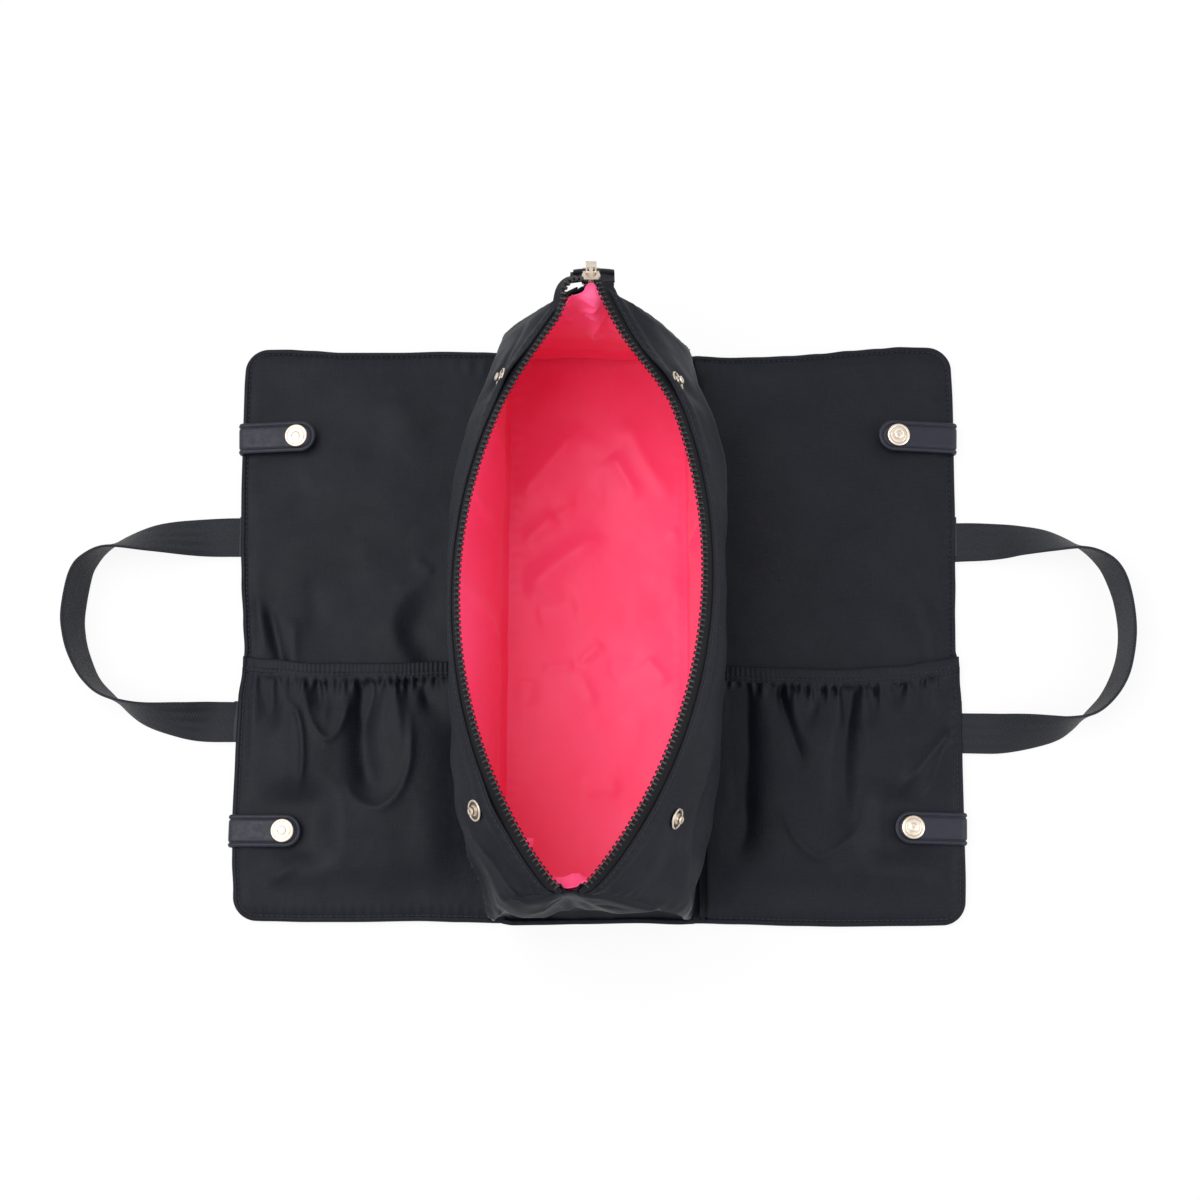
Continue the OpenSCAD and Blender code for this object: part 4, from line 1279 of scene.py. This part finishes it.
def edge_distance(s, t):
    ds, dt = FLAP_REACH - s, HALF_L - np.abs(t)
    r = CORNER_R
    corner = r - np.hypot(np.maximum(r - ds, 0), np.maximum(r - dt, 0))
    return np.where((ds < r) & (dt < r), corner, np.minimum(ds, dt))


def flap_plan(sd, s, t):
    """Where a point of the plain rectangle lies in the flap's real outline."""
    out = table(OUTER_EDGE[sd], t)
    x = FLAP_IN + s * (out - FLAP_IN) / FLAP_REACH
    far = table(FAR_EDGE[sd], FLAP_IN + s)
    near = table(NEAR_EDGE[sd], FLAP_IN + s)
    return x, np.where(t > 0, t * far / HALF_L, t * near / HALF_L)


def edge_roll(s, d):
    """Half the flap's thickness near its bound edge, a little thinner at the fold."""
    return 1.95 * rolled(d, 2.1) * mix(0.75, 1, smooth(s / 6))


def swollen(s, d):
    """How much the padding fills out inside the bound edge, from 0 to 1."""
    return smooth((d - 3.9) / 7) * smooth(s / 6)


def flap_height(sd, s, t, x, y):
    """Height of the flap's upper face above its middle layer."""
    d = edge_distance(s, t)
    h = edge_roll(s, d) + swollen(s, d) - 0.9 * bell(d - STITCH_IN, 0.75)
    run = np.where(HALF_L - np.abs(t) < FLAP_REACH - s, x, y)
    pucker = 0.28 * np.sin(run / 0.95 + 2 * noise(x, y, 20, 61)) * bell(d - 6.0, 3.4)
    pucker = pucker * (0.6 + 0.6 * noise(x, y, 33, 62))
    by_pouch = smooth((110 - x) / 40) * 0.5 * np.sin(x / 1.6 + noise(x, y, 15, 63))
    pucker = pucker + by_pouch * bell(HALF_L - np.abs(t) - 9, 6)
    still = smooth((d - 3.8) / 9) * smooth(s / 6)
    folds = strokes(x, y, FLAP_FOLDS[sd])
    soft = 0.75 * noise(x, y, 46, 64 + sd) + 0.4 * noise(x + 0.5 * y, y, 19, 66 + sd)
    soft = soft + 0.08 * noise(x, y, 6, 68 + sd)
    return h + pucker + (folds + soft) * still


def flap_top(sd, s, t):
    x, y = flap_plan(sd, s, t)
    return np.stack([sd * x, y, FLAP_T / 2 + flap_height(sd, s, t, x, y)], axis=-1)


def flap_bottom(sd, s, t):
    x, y = flap_plan(sd, s, t)
    d = edge_distance(s, t)
    h = edge_roll(s, d) + 0.85 * swollen(s, d) - 0.6 * bell(d - STITCH_IN, 0.75)
    h = h - 0.35 * (1 + noise(x, y, 40, 71 + sd)) * smooth((d - 4) / 12)
    return np.stack([sd * x, y, FLAP_T / 2 - np.minimum(h, 2.85)], axis=-1)


def flap_edge_path(sd, d, top, start=3.0):
    """A line at distance d from the flap's edge, from the far fold end round to the near one."""
    r = CORNER_R - d
    turn = np.linspace(0, math.pi / 2, 14)
    s0, t0 = FLAP_REACH - CORNER_R, HALF_L - CORNER_R
    s = np.concatenate([np.linspace(start, s0, 90)[:-1], s0 + r * np.sin(turn),
                        np.full(180, FLAP_REACH - d)[1:-1], s0 + r * np.cos(turn),
                        np.linspace(s0, start, 90)[1:]])
    t = np.concatenate([np.full(89, HALF_L - d), t0 + r * np.cos(turn),
                        np.linspace(t0, -t0, 180)[1:-1], -t0 - r * np.sin(turn),
                        np.full(89, d - HALF_L)])
    return (flap_top if top else flap_bottom)(sd, s, t), s, t


EDGE_FINE = (0, 0.12, 0.35, 0.75, 1.3, 2.0, 2.6, 3.0, 3.5, 4.0, 4.6, 5.6, 7.0)


def flap(sd):
    s = spaced(0, FLAP_REACH, 1.9, (0, 0.8, 2.0, 4.0), EDGE_FINE)
    t = spaced(-HALF_L, HALF_L, 1.9, EDGE_FINE)
    s, t = over(s, t)
    s, t = rounded(s, t)
    side = SIDE_NAME[sd]
    ob = slab(f"{side}_flap_padding", flap_top(sd, s, t), flap_bottom(sd, s, t), SATIN, sharp=60)
    names = [f"{side}_flap_{k}" for k in ("outer_cover", "foam", "inner_cover", "edge_binding")]
    finish_piece(ob, f"{side}_flap", names)
    parts = []
    for top in (True, False):
        path = flap_edge_path(sd, STITCH_IN, top)[0]
        if top:
            path = path[path[:, 1] > hem_line(sd, np.abs(path[:, 0])) - 1]
        parts += stitch_parts(path, facing(path, 1.0 if top else -1.0))
    sew(f"{side}_flap_stitches", parts, f"{side}_flap")


def fold_strip(sd):
    """The fabric that joins the base to the flap, as a fixed sheet."""
    side = SIDE_NAME[sd]
    a = np.linspace(0, 1, 15)[:, None]
    near, far = NEAR_EDGE[sd][0][1], FAR_EDGE[sd][0][1]
    y = spaced(-near, far, 2.2, (0, 0.2, 0.6, 1.2, 2.0))[None, :]
    a, y = np.broadcast_arrays(a, y)
    x = mix(57.6, 65.0, a)
    d = np.minimum(y + near, far - y)
    roll = rolled(d, 2.0)
    half = mix(0.15, mix(0.8, 1.5, smooth(a)), roll)
    z = mix(1.6, 2.9, smooth(a)) + 0.15 * noise(x * 3, y, 8, 77)
    top = np.stack([sd * x, y, z + half], axis=2)
    low = np.stack([sd * x, y, z - half], axis=2)
    ob = slab(f"{side}_fold_strip", top, low, SATIN)
    finish_piece(ob, None)
    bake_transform(ob)


# ---- pockets

HEM_LINE = {
    LEFT: [(60, -20.5), (95, -21.8), (140, -23.0), (178, -22.8), (205, -20.6), (226, -18.4)],
    RIGHT: [(60, -23.5), (80, -25.0), (114, -26.2), (151, -27.0), (189, -25.0), (208, -21.4), (226, -18.4)],
}
HEM_W = 9.0
POCKET_IN = 4.5
POCKET_T = 0.7

# Creases of the pockets: path in millimetres, width at its start and end, height, and how far each end fades
POCKET_FOLDS = {
    LEFT: [
        ([(203, -31), (202, -46), (201.6, -70)], (3.2, 6.5), -3.8, (0, 0.5)),
        ([(194, -43), (184, -57), (181, -78), (182, -96), (186, -112)], 2.2, 2.0, (0.2, 0.3)),
        ([(172, -31), (172, -46), (173, -56)], (3.0, 4.4), -3.0, (0, 0.5)),
        ([(181, -38), (177, -58), (167, -71), (158, -62), (152, -42)], 2.4, 1.5, (0.2, 0.2)),
        ([(142, -30), (145, -60), (144, -84), (137, -106), (132, -116)], (4.5, 11.5), -6.8, (0, 0.32)),
        ([(117, -44), (115, -68), (116, -88), (123, -105), (135, -113), (149, -107), (158, -90)],
         3.4, 1.9, (0.3, 0.35)),
        ([(110, -30), (107, -42), (101, -58)], (3.0, 5.0), -3.2, (0, 0.45)),
        ([(126, -34), (122, -60), (121, -84)], 4.6, 1.2, (0.1, 0.4)),
        ([(168, -128), (181, -144), (202, -160)], 4.2, 1.7),
        ([(90, -32), (88, -70)], 5.0, 1.8, (0, 0.5)),
        ([(213, -40), (214, -90)], 4.0, 1.0),
    ],
    RIGHT: [
        ([(109, -31), (115, -52), (120, -71), (129, -98)], (2.6, 3.6), -2.9, (0, 0.35)),
        ([(119, -36), (125, -62), (139, -90)], 5.0, 1.7, (0.1, 0.4)),
        ([(137, -31), (137, -40), (132, -55), (127, -70)], (2.8, 4.6), -3.4, (0, 0.5)),
        ([(154.5, -31), (154, -54), (151, -74), (149.5, -98), (151, -136)], (3.8, 10.0), -6.0, (0, 0.3)),
        ([(171, -31), (170, -50), (166, -66)], (2.8, 4.2), -3.4, (0, 0.5)),
        ([(163, -40), (166, -70), (170, -104)], 6.0, 1.6, (0.1, 0.4)),
        ([(84, -30), (89, -60), (90, -95), (88, -132), (85, -158)], (6.5, 9.0), -4.4, (0, 0.3)),
        ([(110, -108), (118, -128), (126, -138.4), (135, -143.3), (144, -139), (154, -131), (163, -116)],
         3.0, 2.0, (0.3, 0.3)),
        ([(219, -63.5), (204, -80), (188, -99), (178, -112)], 3.4, 2.8, (0.1, 0.3)),
        ([(221, -72), (207, -96), (197, -112)], 4.4, -3.6),
        ([(187, -33), (184.5, -55)], (2.6, 3.6), -1.9, (0, 0.5)),
        ([(206, -30), (205, -56)], 4.0, 1.4, (0, 0.5)),
    ],
}


def hem_line(sd, x):
    return table(HEM_LINE[sd], x)


def pocket_puff(sd, s, t, x, y):
    """Height of the pocket's fabric above the flap."""
    d = edge_distance(s, t)
    hem = hem_line(sd, x) - HEM_W
    below = hem - y
    rise = smooth((s - POCKET_IN) / 46) * smooth((d - 4.5) / 30)
    foot = smooth((y + 178) / 46)
    beside = np.hypot(np.maximum(177 - x, 0), np.maximum(np.abs(y + SNAP_Y) - 11, 0))
    dent = 1 - smooth(beside / 23)
    puff = 7.0 * rise * foot * (1 - dent) * mix(0.5, 1.0, smooth(below / 40))
    still = smooth((d - 4.2) / 10) * smooth((s - POCKET_IN) / 10)
    calm = still * (1 - 0.95 * dent)
    folds = strokes(x, y, POCKET_FOLDS[sd]) * smooth(below / 5)
    notch = np.sin(x / 0.95 + 3.0 * noise(x, 0 * x, 17, 81 + sd)) * (1.0 + 0.6 * noise(x, 0 * x, 9, 82 + sd))
    reach = 6 + 3.5 * noise(x, 0 * x, 7, 87 + sd)
    ripple = 1.4 * notch * bell(np.maximum(below - 1.5, 0), reach) * smooth((below + 1) / 2.5)
    wave = np.sin(x / 2.9 + 2.6 * noise(x, 0 * x, 24, 83 + sd))
    ripple = ripple + 1.1 * wave * bell(np.maximum(below - 3, 0), 2.6 * reach) * smooth(below / 4)
    soft = 0.9 * noise(x, y, 36, 84 + sd) + 0.5 * noise(x, y * 0.6, 15, 86 + sd)
    soft = soft + 0.07 * noise(x, y, 5, 88 + sd)
    pucker = 0.25 * np.sin(np.where(HALF_L - np.abs(t) < FLAP_REACH - s, x, y) / 0.95) * bell(d - 6.0, 3.2)
    return puff + (folds + soft) * calm + ripple * still + pucker * (1 - 0.7 * dent)


def hem_base(sd, s):
    """Height of the pocket's mouth above the flap, without its folds."""
    x = FLAP_IN + s
    lift = 2.6 * smooth((s - POCKET_IN) / 40) * smooth((FLAP_REACH - s) / 34)
    lift = lift * (1 + 0.25 * noise(x, 0 * x, 34, 98 + sd))
    return FLAP_T / 2 + plain_height(s, FLAP_REACH - s) + 0.4 + lift


def pressed(ob):
    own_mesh(ob)


def pocket_point(sd, s, t, extra=0.0):
    x, y = flap_plan(sd, s, t)
    d = edge_distance(s, t)
    base = FLAP_T / 2 + plain_height(s, d)
    z = base + 0.3 + np.maximum(pocket_puff(sd, s, t, x, y), -0.15)
    below = hem_line(sd, x) - HEM_W - y
    z = mix(np.minimum(z, hem_base(sd, s) + 0.5), z, smooth(below / 4)) + extra
    return np.stack([sd * x, y, z], axis=-1)


def plain_height(s, d):
    """The flap's upper face without its creases."""
    return edge_roll(s, d) + swollen(s, d) - 0.75 * bell(d - STITCH_IN, 0.75) + 0.25 * smooth((d - 4) / 4)


def pocket(sd):
    side = SIDE_NAME[sd]
    fine = (0, 0.0008, 0.0024, 0.005, 0.009, 0.0135, 0.018, 0.0205, 0.024, 0.03, 0.038)
    n_t = spaced(0, 1, 1 / 92, fine, ())
    s = spaced(POCKET_IN, FLAP_REACH, 1.2, (0, 0.6, 1.2), EDGE_FINE)[:, None]
    s = np.broadcast_to(s, (s.shape[0], n_t.size))
    top_t = hem_line(sd, FLAP_IN + s) - HEM_W * 0.7
    near_scale = table(NEAR_EDGE[sd], FLAP_IN + s) / HALF_L
    t = mix(-HALF_L, top_t / near_scale, n_t[None, :])
    s, t = rounded(s, t)
    top = pocket_point(sd, s, t, POCKET_T)
    low = pocket_point(sd, s, t)
    ob = slab(f"{side}_pocket_cloth", top, low, SATIN, sharp=60)
    finish_piece(ob, f"{side}_flap", [f"{side}_pocket_panel"])
    hem = pocket_hem(sd)
    pressed(ob)
    _, s, t = flap_edge_path(sd, STITCH_IN, True, POCKET_IN)
    path = pocket_point(sd, s, t, POCKET_T)
    path = path[path[:, 1] < hem_line(sd, np.abs(path[:, 0])) - 1]
    pressed(sew(f"{side}_pocket_stitches", stitch_parts(path, facing(path)), f"{side}_flap"))


def pocket_hem(sd):
    """The elastic casing along the pocket's mouth, with two rows of stitches."""
    side = SIDE_NAME[sd]
    s = np.linspace(POCKET_IN - 0.5, FLAP_REACH - 0.9, 320)
    x = FLAP_IN + s
    hem = hem_line(sd, x)
    near_scale = table(NEAR_EDGE[sd], x) / HALF_L
    # Cross-section: [down the pocket from the fold, height], round at the top edge
    section = [(0.1, 0.45), (0.0, 0.95), (0.4, 1.55), (1.3, 1.85), (2.9, 1.75), (4.6, 1.95), (6.1, 1.75),
               (6.9, 1.25), (7.6, 1.6), (8.5, 1.25), (9.4, 0.85), (9.9, 0.4), (7.3, 0.1), (2.4, 0.1)]
    rings = []
    wave = noise(x, 0 * x, 11, 91 + sd)
    for down, h in section:
        t = (hem - HEM_W) / near_scale
        out = flap_plan(sd, s, t)[0]
        fine = np.sin(x * 2.2 + 3 * noise(x, 0 * x, 9, 94 + sd)) * (1 + noise(x, 0 * x, 23, 95 + sd))
        grow = 1 + 0.12 * wave + 0.07 * fine
        tilt = 0.25 * wave * (down - 4)
        ends = smooth((FLAP_REACH - s) / 9)
        z = mix(FLAP_T + 0.2, hem_base(sd, s) - 0.2, ends) + h * grow + tilt * 0.2
        rings.append(np.stack([sd * out, hem - down + 0.35 * wave, z], axis=1))
    p = np.stack(rings, axis=1)
    ob = tube(f"{side}_pocket_hem", p, SATIN, grid_uv(s, np.linspace(0, 16, len(section))), sharp=60)
    finish_piece(ob, f"{side}_flap", [f"{side}_pocket_elastic"])
    parts = []
    for k in (7, 10):
        line = mix(p[:, k], p[:, k + 1], 0.2)
        line[:, 2] += 0.05
        parts += stitch_parts(line, facing(line), 2.2, 3.0, 0.26)
    pressed(ob)
    pressed(sew(f"{side}_hem_stitches", parts, f"{side}_flap"))
    return ob


# ---- handles

WEBBING_W = 25.0
WEBBING_T = 1.7
HANDLE_X = 227.0
# The webbing's middle line and turn: (out from the seam, along the edge, degrees from lying flat)
HANDLE_LINE = {
    LEFT: [(-3, 58, 0), (10, 57.9, 3), (26, 57.5, 14), (52, 56, 40), (77, 50.5, 78), (90, 41, 99),
           (96, 30, 110), (99.3, 8.5, 112), (97.8, -6, 111), (93.6, -19.5, 109), (86, -34, 104),
           (74.3, -44.4, 97), (54, -54.5, 66), (31, -58.5, 36), (12, -59, 8), (-3, -59, 0)],
    RIGHT: [(-3, 54.7, 0), (12, 55, 6), (26, 55, 18), (38, 55, 32), (56, 54, 50), (75, 49.5, 78),
            (88, 41, 96), (95, 31, 104), (99.5, 16, 103), (101, -1.5, 102), (99, -18, 102),
            (94.5, -32.7, 104), (87, -45, 102), (76.6, -54.5, 97), (65, -61, 77), (52, -64.6, 55),
            (26, -66.3, 22), (10, -66.2, 4), (-3, -66, 0)],
}


def handle(sd):
    side = SIDE_NAME[sd]
    p = along(HANDLE_LINE[sd], np.linspace(0, 1, 260))
    s = run_of(p[:, :2])
    even = np.linspace(0, s[-1], 240)
    p = np.stack([np.interp(even, s, p[:, k]) for k in range(3)], axis=1)
    turn = np.radians(p[:, 2])
    c = np.stack([p[:, 0], p[:, 1], 0 * turn], axis=1)
    tangent = unit(np.gradient(c, axis=0))
    out = np.cross(tangent, [0, 0, -1.0])
    w = -out * np.cos(turn)[:, None] + np.sin(turn)[:, None] * np.array([0, 0, 1.0])
    n = np.cross(tangent, w)
    z = mix(FLAP_T / 2, WEBBING_T / 2 + 0.15, smooth((p[:, 0] - 2) / 22)) + WEBBING_W / 2 * np.sin(turn)
    c[:, 0] += HANDLE_X
    c[:, 2] = z
    half_w, half_t = WEBBING_W / 2, WEBBING_T / 2
    edge = 0.75
    ws = np.linspace(-half_w + edge, half_w - edge, 13)
    top = [(x, half_t) for x in ws]
    a = np.linspace(math.pi / 2, -math.pi / 2, 7)[1:-1]
    right = [(half_w - edge + edge * math.cos(k), half_t * math.sin(k)) for k in a]
    low = [(x, -half_t) for x in ws[::-1]]
    left = [(-half_w + edge - edge * math.cos(k), -half_t * math.sin(k)) for k in a]
    section = np.array(top + right + low + left)
    ripple = 0.18 * np.sin(even / 9.0)[:, None] * (section[:, 0] / half_w)[None, :] ** 2
    across, lift = section[None, :, :1], section[None, :, 1:2] + ripple[..., None]
    skin = c[:, None, :] + across * w[:, None, :] + lift * n[:, None, :]
    skin[..., 0] *= sd
    ob = tube(f"{side}_webbing_handle", skin, WEBBING, grid_uv(even, section[:, 0]), sharp=50)
    finish_piece(ob, None, [f"{side}_handle"])
    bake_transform(ob)


# ---- carried-over nodes

def finish_nodes():
    """Better materials on the CAD nodes that stay."""
    finishes = {"base_board": BOARD, "left_handle_tails": WEBBING, "right_handle_tails": WEBBING,
                "zip_stop": GOLD, "zip_slider": GOLD, "zip_slider_bridge": GOLD, "zip_puller": GOLD}
    for name, finish in finishes.items():
        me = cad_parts[name].data
        me.materials.clear()
        me.materials.append(finish)


# ---- stage and light

def make_stage():
    """A pale floor that catches soft shadows near the bag and is seen as white around it."""
    reach = 40.0
    corners = [(reach * x, reach * y, 0) for x, y in ((-1, -1), (1, -1), (1, 1), (-1, 1))]
    me = bpy.data.meshes.new("floor")
    me.from_pydata(corners, [], [(0, 1, 2, 3)])
    floor = bpy.data.objects.new("floor", me)
    bpy.context.scene.collection.objects.link(floor)
    floor.location.z = -0.0004
    n = material("pale floor")
    n.set(color=(0.92, 0.92, 0.92, 1.0), rough=0.9, spec=0.1)
    glow = n.node("Emission", {"Color": (1, 1, 1, 1), "Strength": 1.0})
    away = n.node("VectorMath", {0: n.place()}, operation="LENGTH").outputs["Value"]
    share = n.math("MULTIPLY", n.direct(), n.ramp(away, 0.6, 1.8, 0.88, 1.0))
    both = n.node("MixShader", {0: share, 1: n.shader.outputs[0], 2: glow.outputs[0]})
    n.put(n.tree.nodes["Material Output"].inputs["Surface"], both.outputs[0])
    me.materials.append(n.owner)


WORLD_LEVEL = 0.54


def area_lamp(name, at, aim, size, power):
    data = bpy.data.lights.new(name, "AREA")
    data.shape = "DISK"
    data.size = size
    data.energy = power
    ob = bpy.data.objects.new(name, data)
    bpy.context.scene.collection.objects.link(ob)
    ob.location = at
    ob.rotation_euler = (Vector(aim) - Vector(at)).to_track_quat("-Z", "Y").to_euler()


def make_light():
    world = bpy.data.worlds.new("studio")
    bpy.context.scene.world = world
    n = Nodes(world)
    back = n.tree.nodes["Background"]
    n.put(back.inputs["Color"], (1, 1, 1, 1))
    n.put(back.inputs["Strength"], n.math("MAXIMUM", n.direct(), WORLD_LEVEL))
    area_lamp("key", (-0.85, 0.1, 1.6), (0, 0, 0.05), 2.0, 27.0)
    area_lamp("fill", (1.5, -0.35, 1.0), (0, 0, 0.08), 1.2, 11.0)


base_cover()
zip_end()
for side in (LEFT, RIGHT):
    outer_wall(side)
    flap(side)
    fold_strip(side)
    pocket(side)
    handle(side)
inner_floor()
for side in (LEFT, RIGHT):
    inner_wall(side)
    tape_side(side)
    teeth_row(side)
    for end in (NEAR, FAR):
        stud(side, end)
        tab_cap(side, end)
        tab_strap(side, end)
for end in (NEAR, FAR):
    outer_end(end)
    inner_end(end)
stud_backings()
finish_nodes()
make_stage()
make_light()

bpy.context.scene.view_settings.view_transform = "Standard"
